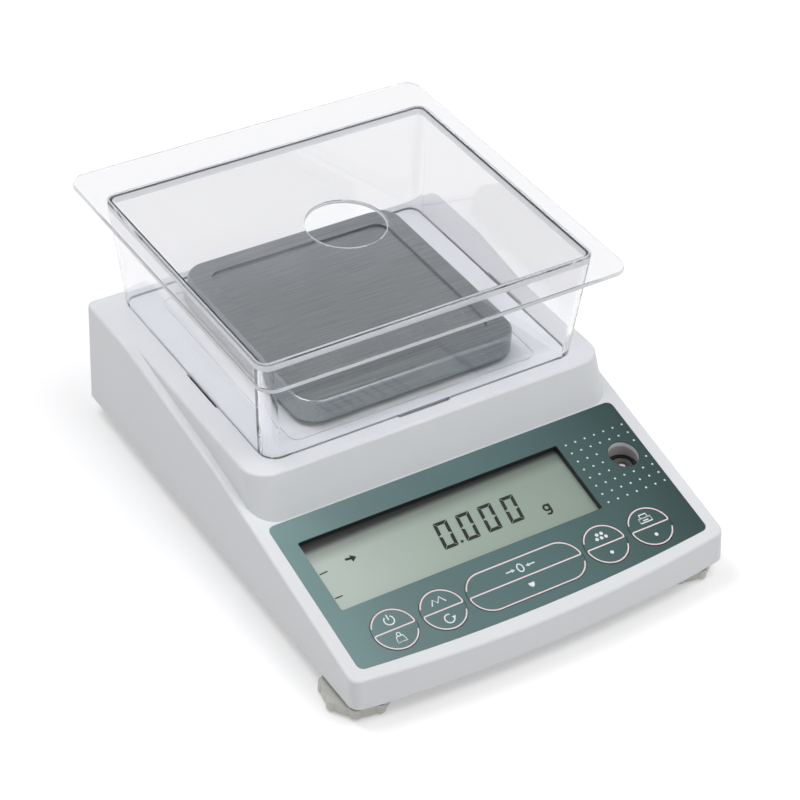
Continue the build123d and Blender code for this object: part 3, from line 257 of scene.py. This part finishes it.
# the foil's colour darkened by the painted shadow of the window's edge
tint = add_node(tree, "VectorMath", {0: painted_light_fade.outputs["Color"], 1: shade.outputs["Color"]},
                operation="MULTIPLY")
foil = add_node(tree, "TexNoise", {"Vector": place}, Scale=per_mm(0.4), Detail=1.0)
relief = add_node(tree, "Bump", {"Height": foil.outputs["Fac"]}, Strength=1.0, Distance=0.004 * MM)
spread = add_node(tree, "MapRange", {"Value": foil.outputs["Fac"]}, To_Min=0.45, To_Max=0.6)
surface = add_node(tree, "BsdfPrincipled", {
    "Base Color": tint.outputs["Vector"], "Roughness": spread.outputs["Result"],
    "Normal": relief.outputs["Normal"]}, Coat_Weight=0.6, Coat_Roughness=0.3, IOR=1.5)
add_node(tree, "OutputMaterial", {"Surface": surface.outputs["BSDF"]})
finishes["display_glass"] = material
crystal = skin("Liquid crystal segments, dark", "#1B2621", "#141C18", 0.6, 0.002, (0.3, 0.4), patch=3.0)
print("display foil and segments ready")

# %% [markdown]
# ## Inks
# The key lines are screen printed in a pale pink that is almost white, and the dots round the
# level in a cool white. Screen ink is matt and stands a few hundredths of a millimetre proud.

# %% Printed inks
key_ink = skin("Screen ink, pale pink", "#F3E1E3", "#E6CCD0", 0.3, 0.004, (0.5, 0.6), patch=5.0)
word_ink = skin("Screen ink, soft white", "#E9EFEE", "#DCE5E4", 0.3, 0.004, (0.5, 0.6), patch=5.0)
dot_ink = skin("Screen ink, cool white", "#DDE9E7", "#CFDEDC", 0.3, 0.004, (0.5, 0.6), patch=9.0)
print("inks:", ", ".join(ink.name for ink in (key_ink, word_ink, dot_ink)))

# %% [markdown]
# ## Brushed stainless steel
# The pan is pressed from stainless sheet and brushed with a belt along its width. Brushing leaves
# long scratches that spread a reflection across them, so the top looks like grey satin with fine
# lines, and the rounded rim catches a narrow bright line. The scratches are noise that is stretched
# along the belt's way. The real ones are about 0.1 mm wide, too fine to show, so they are drawn
# 0.6 mm wide and 30 mm long. On the two sides that face left and right the belt ran the other way,
# so the stretch turns with the face's own normal.

# %% Brushed sheet for the pan
scratch_wide, scratch_long = 0.6, 30
across_it, along_it = per_mm(scratch_wide), per_mm(scratch_long)
material, tree, place = begin("Stainless steel, brushed")
belt = add_node(tree, "Mapping", {"Vector": place}, Scale=(along_it, across_it, across_it))
cross_belt = add_node(tree, "Mapping", {"Vector": place}, Scale=(across_it, along_it, across_it))
facing = add_node(tree, "SeparateXYZ", {"Vector": add_node(tree, "NewGeometry").outputs["Normal"]})
sideways = add_node(tree, "Math", {0: facing.outputs["X"]}, operation="ABSOLUTE")
is_side = add_node(tree, "MapRange", {"Value": sideways.outputs["Value"]}, From_Min=0.6, From_Max=0.8)
way = add_node(tree, "MixRGB", {"Fac": is_side.outputs["Result"], "Color1": belt.outputs["Vector"],
                                "Color2": cross_belt.outputs["Vector"]})
scratches = add_node(tree, "TexNoise", {"Vector": way.outputs["Color"]},
                     Scale=1.0, Detail=3.0, Roughness=0.6)
clouds = add_node(tree, "TexNoise", {"Vector": place}, Scale=per_mm(25), Detail=3.0)
tone = add_node(tree, "MapRange", {"Value": scratches.outputs["Fac"]}, From_Min=0.25, From_Max=0.75)
steel = add_node(tree, "MixRGB", {"Fac": tone.outputs["Result"]},
                 Color1=linear("#8F9396"), Color2=linear("#AFB3B6"))
gloss = add_node(tree, "MapRange", {"Value": clouds.outputs["Fac"]}, From_Min=0.3, From_Max=0.7,
                 To_Min=0.28, To_Max=0.33)
relief = add_node(tree, "Bump", {"Height": scratches.outputs["Fac"]}, Strength=1.0, Distance=0.02 * MM)
flatness = add_node(tree, "Math", {0: facing.outputs["Z"]}, operation="ABSOLUTE")
upright = add_node(tree, "Math", {1: flatness.outputs["Value"]}, operation="SUBTRACT")
upright.inputs[0].default_value = 1.0
across = add_node(tree, "CombineXYZ", {"Y": flatness.outputs["Value"], "Z": upright.outputs["Value"]})
surface = add_node(tree, "BsdfPrincipled", {
    "Base Color": steel.outputs["Color"], "Roughness": gloss.outputs["Result"],
    "Normal": relief.outputs["Normal"], "Tangent": across.outputs["Vector"]},
    Metallic=1.0, Anisotropic=0.5)
add_node(tree, "OutputMaterial", {"Surface": surface.outputs["BSDF"]})
finishes["pan_steel"] = material
print("scratches per millimetre across the belt:", round(across_it * MM, 1))

# %% [markdown]
# ## Clear plastic and glass
# The draft shield and its lid are moulded in clear polystyrene. Its index is high, 1.59, so its
# faces mirror well at a low angle. They are not quite flat: the flow of the melt leaves waves
# about 15 mm long that bend what is seen through them. Light from the lamps would need many
# bounces to get through it, so for shadow rays it is a Transparent shader, which lets them pass
# nearly whole. Light that has been mirrored twice inside a wall leaves it the same way. The
# upright edges of the lid and the flange gather light from the whole plate and look pale, which
# would take a render far too many bounces. There a diffuse and a translucent shader stand in for
# most of the glass.

# %% Clear mouldings
# how far an edge's normal may rise, the share of an edge painted pale for the light it gathers, and the
# count of mirrorings
rim_lean, rim_share, mirror_limit = 0.6, 0.8, 1.5


def clear(name, tint, shade, ior, waves, depth, gloss, rim=None):
    """A clear solid with moulding waves, through which lamps shine. Edges above rim are painted pale, a
    painted light for what they gather.
    """
    material, tree, place = begin(name)
    flow = add_node(tree, "TexNoise", {"Vector": place}, Scale=per_mm(waves), Detail=1.0)
    relief = add_node(tree, "Bump", {"Height": flow.outputs["Fac"]}, Strength=1.0, Distance=depth * MM)
    polish = add_node(tree, "MapRange", {"Value": flow.outputs["Fac"]}, To_Min=gloss[0], To_Max=gloss[1])
    body = add_node(tree, "BsdfPrincipled", {
        "Roughness": polish.outputs["Result"], "Normal": relief.outputs["Normal"]},
        Base_Color=linear(tint), IOR=ior, Transmission_Weight=1.0)
    wall = body.outputs["BSDF"]
    if rim is not None:
        facing = add_node(tree, "NewGeometry")
        lean = add_node(tree, "SeparateXYZ", {"Vector": facing.outputs["True Normal"]})
        steep = add_node(tree, "Math", {0: lean.outputs["Z"]}, operation="COMPARE")
        steep.inputs[1].default_value, steep.inputs[2].default_value = 0.0, rim_lean
        height = add_node(tree, "SeparateXYZ", {"Vector": place})
        above = add_node(tree, "Math", {0: height.outputs["Z"]}, operation="GREATER_THAN")
        above.inputs[1].default_value = rim
        edge = add_node(tree, "Math", {0: steep.outputs["Value"], 1: above.outputs["Value"]},
                        operation="MULTIPLY")
        share = add_node(tree, "MapRange", {"Value": edge.outputs["Value"]}, To_Max=rim_share)
        # painted light: the upright edges get a pale diffuse and translucent skin for the light the
        # plate gathers
        outward = add_node(tree, "BsdfDiffuse", Color=linear("#F6F7F8"))
        inward = add_node(tree, "BsdfTranslucent", Color=linear("#F6F7F8"))
        gathered = add_node(tree, "MixShader", {1: outward.outputs["BSDF"], 2: inward.outputs["BSDF"]})
        wall = add_node(tree, "MixShader", {0: share.outputs["Result"], 1: wall,
                                            2: gathered.outputs["Shader"]}).outputs["Shader"]
    open_air = add_node(tree, "BsdfTransparent", Color=linear(shade))
    rays = add_node(tree, "LightPath")
    trapped = add_node(tree, "Math", {0: rays.outputs["Glossy Depth"]}, operation="GREATER_THAN")
    trapped.inputs[1].default_value = mirror_limit
    passes = add_node(tree, "Math", {0: rays.outputs["Is Shadow Ray"], 1: trapped.outputs["Value"]},
                      operation="MAXIMUM")
    both = add_node(tree, "MixShader", {0: passes.outputs["Value"], 1: wall,
                                        2: open_air.outputs["BSDF"]})
    add_node(tree, "OutputMaterial", {"Surface": both.outputs["Shader"]})
    return material


rim_band = 5.0
lid_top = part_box("shield_lid")[1].z
finishes["clear_plastic"] = clear("Polystyrene moulded, clear", "#FAFAFB", "#E6E6E9", 1.59,
                                  waves=15.0, depth=0.005, gloss=(0.0, 0.01),
                                  rim=lid_top - rim_band * MM)
finishes["vial_glass"] = clear("Glass vial with spirit", "#E6E8E4", "#E4E6E2", 1.45,
                               waves=3.0, depth=0.002, gloss=(0.0, 0.01))
print("clear mouldings ready, top of the lid at", round(lid_top / MM, 1), "mm")

# %% [markdown]
# ## Boards and the flat cable
# Circuit boards are glass fibre under a green solder mask, and the copper tracks under the mask
# show as lighter lines about 2 mm apart. The flat cable is grey vinyl. Its wires show as soft
# ribs, drawn about 8 mm apart, which is coarser than the real 1.27 mm.

# %% Boards and cable
material, tree, place = begin("Glass fibre board, green mask")
tracks = add_node(tree, "TexBrick", {"Vector": place}, Scale=per_mm(8), Mortar_Size=0.04,
                  Color1=linear("#1F5A3C"), Color2=linear("#245F41"), Mortar=linear("#3F8A5C"))
weave = add_node(tree, "TexNoise", {"Vector": place}, Scale=per_mm(0.8), Detail=2.0)
relief = add_node(tree, "Bump", {"Height": weave.outputs["Fac"]}, Strength=1.0, Distance=0.01 * MM)
mask = add_node(tree, "MapRange", {"Value": weave.outputs["Fac"]}, To_Min=0.25, To_Max=0.4)
surface = add_node(tree, "BsdfPrincipled", {
    "Base Color": tracks.outputs["Color"], "Roughness": mask.outputs["Result"],
    "Normal": relief.outputs["Normal"]}, IOR=1.5)
add_node(tree, "OutputMaterial", {"Surface": surface.outputs["BSDF"]})
finishes["circuit_board"] = material

material, tree, place = begin("Flat cable, grey vinyl")
wave_factor = 20  # a wave texture turns by 20 radians in a unit
ribs = add_node(tree, "TexWave", {"Vector": place}, Scale=per_mm(1.27) / wave_factor,
                bands_direction="X")
vinyl = add_node(tree, "MixRGB", {"Fac": ribs.outputs["Fac"]},
                 Color1=linear("#8B8E92"), Color2=linear("#B4B7BA"))
relief = add_node(tree, "Bump", {"Height": ribs.outputs["Fac"]}, Strength=1.0, Distance=0.2 * MM)
surface = add_node(tree, "BsdfPrincipled", {
    "Base Color": vinyl.outputs["Color"], "Normal": relief.outputs["Normal"]}, Roughness=0.45)
add_node(tree, "OutputMaterial", {"Surface": surface.outputs["BSDF"]})
finishes["cable_plastic"] = material
print("finishes in all:", len(finishes))

# %% [markdown]
# ## Hand out the finishes
# Each CAD piece came in with a plain material named after its slot in the parts record. Its
# material slots take the finish of the same name, and the meshes stay as they are. The two large
# mouldings get weighted normals, so that their flats stay flat beside the rounded edges.

# %% Dress the CAD pieces
for piece in nodes.values():
    for place in piece.material_slots:
        place.material = finishes[place.material.name.split(".")[0]]
for name in ("upper_case", "base_tray"):
    flats = nodes[name].modifiers.new("flats stay flat", "WEIGHTED_NORMAL")
    flats.keep_sharp = True
print("dressed:", len(nodes))

# %% [markdown]
# ## Drawing on the sloping panel
# Everything printed lies on the panel, which slopes down to the front. It is easiest to draw flat:
# x runs across the balance, and drop runs down the slope from the overlay's upper edge, both in
# millimetres. The slope of 13.07 degrees is given, and the film's height and upper edge are read
# from its own vertices, so the print sits on it. Text objects or an image would be quicker, but
# strokes made of small quads keep their width, take ink like the film does and cost little.

# %% The panel's plane
slope = math.radians(13.07)
ink_thick = 0.03
downhill = Vector((0, -math.cos(slope), -math.sin(slope)))
outward = Vector((0, -math.sin(slope), math.cos(slope)))


def reach(node, way, end):
    """The least or greatest distance of a CAD piece's vertices along a direction."""
    return end(way.dot(v.co) for v in nodes[node].data.vertices)


film_top = reach("panel_overlay", outward, max)
film_edge = reach("panel_overlay", downhill, min)
glass_top = reach("lcd_glass", outward, max)
print("the display lies", round((film_top - glass_top) / MM, 2), "mm under the film")


def arc(x, drop, r, start, end, steps=24):
    """Points of an arc about (x, drop); 0 degrees points right and 90 up the slope."""
    turns = [math.radians(start + (end - start) * i / steps) for i in range(steps + 1)]
    return [(x + r * math.cos(t), drop - r * math.sin(t)) for t in turns]


def stroke(points, width):
    """Quads along a line of points, as a pen of that width draws them."""
    sides = []
    for i, (x, drop) in enumerate(points):
        (ax, ad), (bx, bd) = points[max(i - 1, 0)], points[min(i + 1, len(points) - 1)]
        length = math.hypot(bx - ax, bd - ad)
        off_x, off_d = -(bd - ad) / length * width / 2, (bx - ax) / length * width / 2
        sides.append(((x + off_x, drop + off_d), (x - off_x, drop - off_d)))
    return [[a[0], a[1], b[1], b[0]] for a, b in zip(sides, sides[1:])]


def disc(x, drop, r):
    """The outline of a round dot."""
    return arc(x, drop, r, 0, 345, 23)


def shifted(faces, x, drop):
    """The same faces, moved on the panel."""
    return [[(px + x, pd + drop) for px, pd in face] for face in faces]


def grown(faces, times=1.2):
    """The same faces, larger."""
    return [[(x * times, drop * times) for x, drop in face] for face in faces]


def print_on(name, faces, level, ink, body):
    """A printed piece: flat faces on the panel's slope at a height, raised by the ink's thickness."""
    shape = bmesh.new()
    for face in faces:
        places = [Vector((x * MM, 0, 0)) + downhill * (film_edge + drop * MM) + outward * level
                  for x, drop in face]
        shape.faces.new([shape.verts.new(place) for place in places])
    bmesh.ops.remove_doubles(shape, verts=shape.verts, dist=0.001 * MM)
    raised = bmesh.ops.extrude_face_region(shape, geom=shape.faces[:])
    top = [part for part in raised["geom"] if isinstance(part, bmesh.types.BMVert)]
    bmesh.ops.translate(shape, verts=top, vec=outward * ink_thick * MM)
    bmesh.ops.recalc_face_normals(shape, faces=shape.faces)
    mesh = bpy.data.meshes.new(name)
    shape.to_mesh(mesh)
    shape.free()
    mesh.materials.append(ink)
    piece = bpy.data.objects.new(name, mesh)
    bpy.context.scene.collection.objects.link(piece)
    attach(piece, body)


# %% [markdown]
# ## Marks of the display
# The display reads zero to a thousandth of a gram. Each digit is seven segments, of which a zero
# shows six: bars with mitred ends and hairline gaps, all leaning to the right by nearly 8 degrees.
# The unit, the arrow at the left and the two scale ticks are segments too, in the same crystal.

# %% Digits, unit, arrow and ticks
digit_width, digit_height, bar, gap, lean = 7.1, 14.2, 1.7, 0.14, 1.9
digit_top = 25.5
digit_lefts = (-21.4, -9.9, 1.6, 13.4)


def zero():
    """The six lit bars of a zero, drawn upright from its upper left corner."""
    w, h, m = digit_width, digit_height, digit_height / 2
    across = [[(gap, 0), (w - gap, 0), (w - bar - gap, bar), (bar + gap, bar)],
              [(gap, h), (bar + gap, h - bar), (w - bar - gap, h - bar), (w - gap, h)]]
    upright = []
    for outer, inner in ((0, bar), (w, w - bar)):
        upright.append([(outer, gap), (inner, bar + gap),
                        (inner, m - bar / 2), (outer, m - gap / 2)])
        upright.append([(outer, h - gap), (inner, h - bar - gap),
                        (inner, m + bar / 2), (outer, m + gap / 2)])
    return across + upright


def leaning(faces):
    """The faces, sheared as the display's segments lean."""
    return [[(x - lean * drop / digit_height, drop) for x, drop in face] for face in faces]


marks = []
for left in digit_lefts:
    marks += shifted(leaning(zero()), left, digit_top)
point = [(-0.65, -0.65), (0.65, -0.65), (0.5, 0.65), (-0.8, 0.65)]
marks += shifted([point], -13.9, 38.7)
unit_pen, tick_pen = 1.05, 0.6
marks += stroke(arc(30.9, 38.3, 1.45, 0, 360), unit_pen)
marks += stroke([(32.5, 36.5), (32.4, 40.2)] + arc(30.8, 40.3, 1.5, -10, -140, 10), unit_pen)
arrow_shaft = [(-66.2, 25.8), (-63.4, 26.1), (-63.4, 27.3), (-66.2, 27.0)]
arrow_tip = [(-63.5, 24.9), (-60.9, 26.8), (-63.5, 28.8)]
marks += [arrow_shaft, arrow_tip]
marks += stroke([(-80.3, 28.8), (-76.2, 28.5)], tick_pen)
marks += stroke([(-80.4, 42.2), (-76.5, 42.1)], tick_pen)
print_on("display_marks", marks, glass_top, crystal, "case")
print("display marks:", len(marks), "faces")

# %% [markdown]
# ## Dots round the spirit level
# A field of 7 by 8 small dots surrounds the level's well. It leaves the well free, so dots that
# would fall into it are left out.

# %% The dot field
dot_r, level_place, clear_of_level = 0.5, (78.7, 28.8), 9.3
first_x, first_drop, pitch_x, pitch_drop = 56.7, 13.9, 5.2, 5.0
dots = []
for column in range(7):
    for row in range(8):
        x, drop = first_x + pitch_x * column, first_drop + pitch_drop * row
        if math.dist((x, drop), level_place) > clear_of_level:
            dots.append(disc(x, drop, dot_r))
print_on("level_dots", dots, film_top, dot_ink, "case")
print("dots:", len(dots))

# %% [markdown]
# ## Key lines and signs
# One pen line makes each key: from the left it goes over the top, turns in at the right end, runs
# back through the middle and goes round the bottom. So the upper half is open at the left and the
# lower half at the right. Each half holds a small sign that says what the key does: on and
# calibrate, mode, zero, count and print. The signs ride on the keys, and go down when one is
# pressed.

# %% Lines of the keys
line, line_r, line_inset, key_drop, bar_half = 0.65, 10.0, 1.0, 67.85, 19.1
key_places = {"power_key": -66.6, "mode_key": -42.4, "tare_key": 0.0,
              "count_key": 42.4, "print_key": 66.6}


def bend(start, corner, end, steps=6):
    """A soft corner from start to end, pulled to the corner."""
    mix = []
    for i in range(1, steps):
        t = i / steps
        mix.append(tuple((1 - t) ** 2 * s + 2 * t * (1 - t) * c + t * t * e
                         for s, c, e in zip(start, corner, end)))
    return mix


def key_line(half):
    """The pen line of a key whose ends are half a straight length apart from its middle."""
    over = arc(-half, 0, line_r, 158, 90) + arc(half, 0, line_r, 90, 7)
    under = arc(-half, 0, line_r, 187, 270) + arc(half, 0, line_r, 270, 338)
    reach_x = half + line_r - line_inset
    turn_in = bend(over[-1], (half + line_r, 0), (reach_x, 0))
    turn_out = bend((-reach_x, 0), (-half - line_r, 0), under[0])
    return over + turn_in + [(reach_x, 0), (-reach_x, 0)] + turn_out + under


# %% [markdown]
# ## The small signs
# The signs are drawn about the middle of their own half, with a pen half a millimetre wide, and then
# moved above or below the middle line. All are made a fifth larger when they are printed.

# %% Signs of the keys
def arrow_head(x, drop, way, size):
    """A small solid triangle that points right for way 1 and left for way -1."""
    return [[(x, drop - size / 2), (x + way * size, drop), (x, drop + size / 2)]]


pen = 0.5
low_dot = disc(0, 4.0, 0.75)
sign = {}
sign["power_key"] = (
    shifted(stroke(arc(0, 0.3, 1.9, 125, 415), pen) + stroke([(0, -2.2), (0, 0.1)], pen), 0, -4.3)
    + shifted(stroke([(-1.9, 1.7), (1.9, 1.7), (1.35, -0.7), (-1.35, -0.7),
                      (-1.9, 1.7), (1.9, 1.7)], pen)
              + stroke(arc(0, -1.5, 0.75, 0, 360, 16), pen * 0.8), 0, 3.9))
sign["mode_key"] = (
    shifted(stroke([(-3.0, 1.2), (-1.7, -1.1), (-0.3, 0.7), (1.2, -1.6), (2.9, 1.1)], pen), 0, -3.9)
    + shifted(stroke(arc(0, 0, 1.8, 60, 340), pen)
              + [[(1.1, -0.4), (2.7, -0.5), (1.9, 1.0)]], 0, 4.2))
sign["tare_key"] = (
    shifted(stroke([(-6.2, 0), (-3.4, 0)], pen) + arrow_head(-3.8, 0, 1, 1.5)
            + stroke([(6.2, 0), (3.4, 0)], pen) + arrow_head(3.8, 0, -1, 1.5)
            + stroke([(1.15 * x, 1.7 * drop) for x, drop in arc(0, 0, 1, 0, 360)], pen), 0, -4.0)
    + shifted([[(-1.3, -0.9), (1.3, -0.9), (1.0, 0.3), (0, 1.2), (-1.0, 0.3)]], 0, 4.0))
heap = ((-2.0, 0.9), (0, 0.9), (2.0, 0.9), (-1.0, -0.9), (1.0, -0.9))
sign["count_key"] = [disc(x, drop - 3.9, 0.72) for x, drop in heap] + [low_dot]
sign["print_key"] = (
    shifted(stroke([(-2.6, -0.4), (2.6, -0.4), (2.6, 1.6), (-2.6, 1.6),
                    (-2.6, -0.4), (2.6, -0.4)], pen)
            + stroke([(-1.5, -0.5), (-1.5, -2.0), (1.5, -2.0), (1.5, -0.5)], pen)
            + stroke([(-1.2, 0.7), (1.2, 0.7)], pen), 0, -3.8)
    + [low_dot])
for key, x in key_places.items():
    key_top = reach(key, outward, max)
    half = bar_half if key == "tare_key" else 0.0
    outline = shifted(stroke(key_line(half), line), x, key_drop)
    print_on(f"{key}_line", outline, key_top, key_ink, key)
    print_on(f"{key}_sign", shifted(grown(sign[key]), x, key_drop), key_top, word_ink, key)
print("keys with lines and signs:", len(key_places))

# %% [markdown]
# ## The bubble
# The spirit level's vial holds a bubble about 3 mm wide that floats under its domed top. The bubble
# is a flattened lens, lathed here from its half outline. A metaball would be rounder than a real
# bubble, which the glass above it presses flat.

# %% Bubble of the level
def lathe(name, outline, centre, material, body, steps=48):
    """Turns an outline of (radius, height) points about an upright axis."""
    shape = bmesh.new()
    rings = []
    for i in range(steps):
        turn = 2 * math.pi * i / steps
        rings.append([shape.verts.new(Vector((r * math.cos(turn), r * math.sin(turn), h)) * MM + centre)
                      for r, h in outline])
    for i in range(steps):
        for j in range(len(outline) - 1):
            a, b = rings[i], rings[(i + 1) % steps]
            shape.faces.new((a[j], b[j], b[j + 1], a[j + 1]))
    bmesh.ops.remove_doubles(shape, verts=shape.verts, dist=0.0005 * MM)
    bmesh.ops.dissolve_degenerate(shape, dist=0.0005 * MM, edges=shape.edges)
    bmesh.ops.recalc_face_normals(shape, faces=shape.faces)
    mesh = bpy.data.meshes.new(name)
    shape.to_mesh(mesh)
    shape.free()
    mesh.shade_smooth()
    mesh.materials.append(material)
    piece = bpy.data.objects.new(name, mesh)
    bpy.context.scene.collection.objects.link(piece)
    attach(piece, body)


low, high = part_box("level_vial")
vial_centre = Vector(((low.x + high.x) / 2, (low.y + high.y) / 2, high.z))
bubble_r, bubble_half, bubble_under = 1.6, 0.45, 1.3
turns = [math.radians(a) for a in range(0, 181, 12)]
half_lens = [(bubble_r * math.sin(t), -bubble_under + bubble_half * math.cos(t)) for t in turns]
bubble_skin = skin("Air bubble rim", "#F2F4EE", "#E4E8DE", 0.5, 0.002, (0.05, 0.1), patch=2.0)
lathe("level_bubble", half_lens, vial_centre, bubble_skin, "case")
print("vial top at", [round(v / MM, 1) for v in vial_centre])

# %% [markdown]
# ## Floor
# The object stands on a pale sweep, which throws light back at its sides, so they stay clear grey.
# A glow that only the camera, mirrors and glass see lifts the floor to white, so it keeps the soft
# shadow and gives the object no extra light. The lamps fade with distance, so the glow grows from
# half a metre on.

# %% Floor
floor_reach = 8.0
glow_start, glow_end, glow_near, glow_far = 0.5, 2.6, 0.34, 0.7
sweep = bmesh.new()
bmesh.ops.create_grid(sweep, x_segments=8, y_segments=8, size=floor_reach)
floor_mesh = bpy.data.meshes.new("floor")
sweep.to_mesh(floor_mesh)
sweep.free()
floor = bpy.data.objects.new("floor", floor_mesh)
bpy.context.scene.collection.objects.link(floor)
material, tree, place = begin("Paper sweep, white")
paper = add_node(tree, "BsdfDiffuse", Color=linear("#E2E2E3"))
glow = add_node(tree, "Emission", Color=(1, 1, 1, 1))
rays = add_node(tree, "LightPath")
seen = add_node(tree, "Math", {0: rays.outputs["Is Camera Ray"], 1: rays.outputs["Is Glossy Ray"]},
                operation="ADD")
seen = add_node(tree, "Math", {0: seen.outputs["Value"], 1: rays.outputs["Is Transmission Ray"]},
                operation="ADD", use_clamp=True)
far = add_node(tree, "VectorMath", {0: place}, operation="LENGTH")
needed = add_node(tree, "MapRange", {"Value": far.outputs["Value"]}, From_Min=glow_start,
                  From_Max=glow_end, To_Min=glow_near, To_Max=glow_far)
lift = add_node(tree, "Math", {0: seen.outputs["Value"], 1: needed.outputs["Result"]},
                operation="MULTIPLY")
tree.links.new(lift.outputs["Value"], glow.inputs["Strength"])
both = add_node(tree, "AddShader", {0: paper.outputs["BSDF"], 1: glow.outputs["Emission"]})
add_node(tree, "OutputMaterial", {"Surface": both.outputs["Shader"]})
floor_mesh.materials.append(material)
print("floor reaches", floor_reach, "m each way")

# %% [markdown]
# ## Room light and lamps
# Two soft lamps stand high at the back left and at the front right, in a room of even light. They
# stand off the middle, so that from above the flat lid and the pan don't mirror them. The room
# beyond the floor is white like the floor's glow: straight on, through clear plastic, and low down
# in mirrors, where a sweep would rise behind the object. In mirrors the white fades out with the
# height of the direction, which is 0 when level and 1 straight up.

# %% Room light and lamps
room_light, white_below, even_above = 0.42, 0.4, 0.58
world = bpy.data.worlds.new("studio")
bpy.context.scene.world = world
world.use_nodes = True
tree = world.node_tree
sky = tree.nodes["Background"]
sky.inputs["Color"].default_value = (1, 1, 1, 1)
path = add_node(tree, "LightPath")
bounces = add_node(tree, "Math", {0: path.outputs["Diffuse Depth"], 1: path.outputs["Glossy Depth"]},
                   operation="ADD")
straight = add_node(tree, "Math", {0: bounces.outputs["Value"]}, operation="LESS_THAN")
straight.inputs[1].default_value = 0.5
direction = add_node(tree, "TexCoord")
height = add_node(tree, "SeparateXYZ", {"Vector": direction.outputs["Generated"]})
band = add_node(tree, "MapRange", {"Value": height.outputs["Z"]}, From_Min=white_below,
                From_Max=even_above, To_Min=1.0, To_Max=0.0)
mirrored = add_node(tree, "Math", {0: band.outputs["Result"], 1: path.outputs["Is Glossy Ray"]},
                    operation="MULTIPLY")
backdrop = add_node(tree, "Math", {0: straight.outputs["Value"], 1: mirrored.outputs["Value"]},
                    operation="MAXIMUM")
room = add_node(tree, "MapRange", {"Value": backdrop.outputs["Value"]}, To_Min=room_light, To_Max=1.0)
tree.links.new(room.outputs["Result"], sky.inputs["Strength"])
middle = Vector((0.0, 0.0, 0.06))


def softbox(name, place, side, power):
    """A square lamp that faces the middle of the object."""
    data = bpy.data.lights.new(name, "AREA")
    data.shape, data.size, data.energy = "SQUARE", side, power
    lamp = bpy.data.objects.new(name, data)
    lamp.location = place
    lamp.rotation_euler = (middle - lamp.location).to_track_quat("-Z", "Y").to_euler()
    bpy.context.scene.collection.objects.link(lamp)


softbox("high at the back left", (-0.53, 0.56, 1.65), side=0.62, power=9.9)
softbox("high at the front right", (0.45, -0.6, 1.65), side=0.8, power=10.5)
bpy.context.scene.view_settings.view_transform = "Standard"
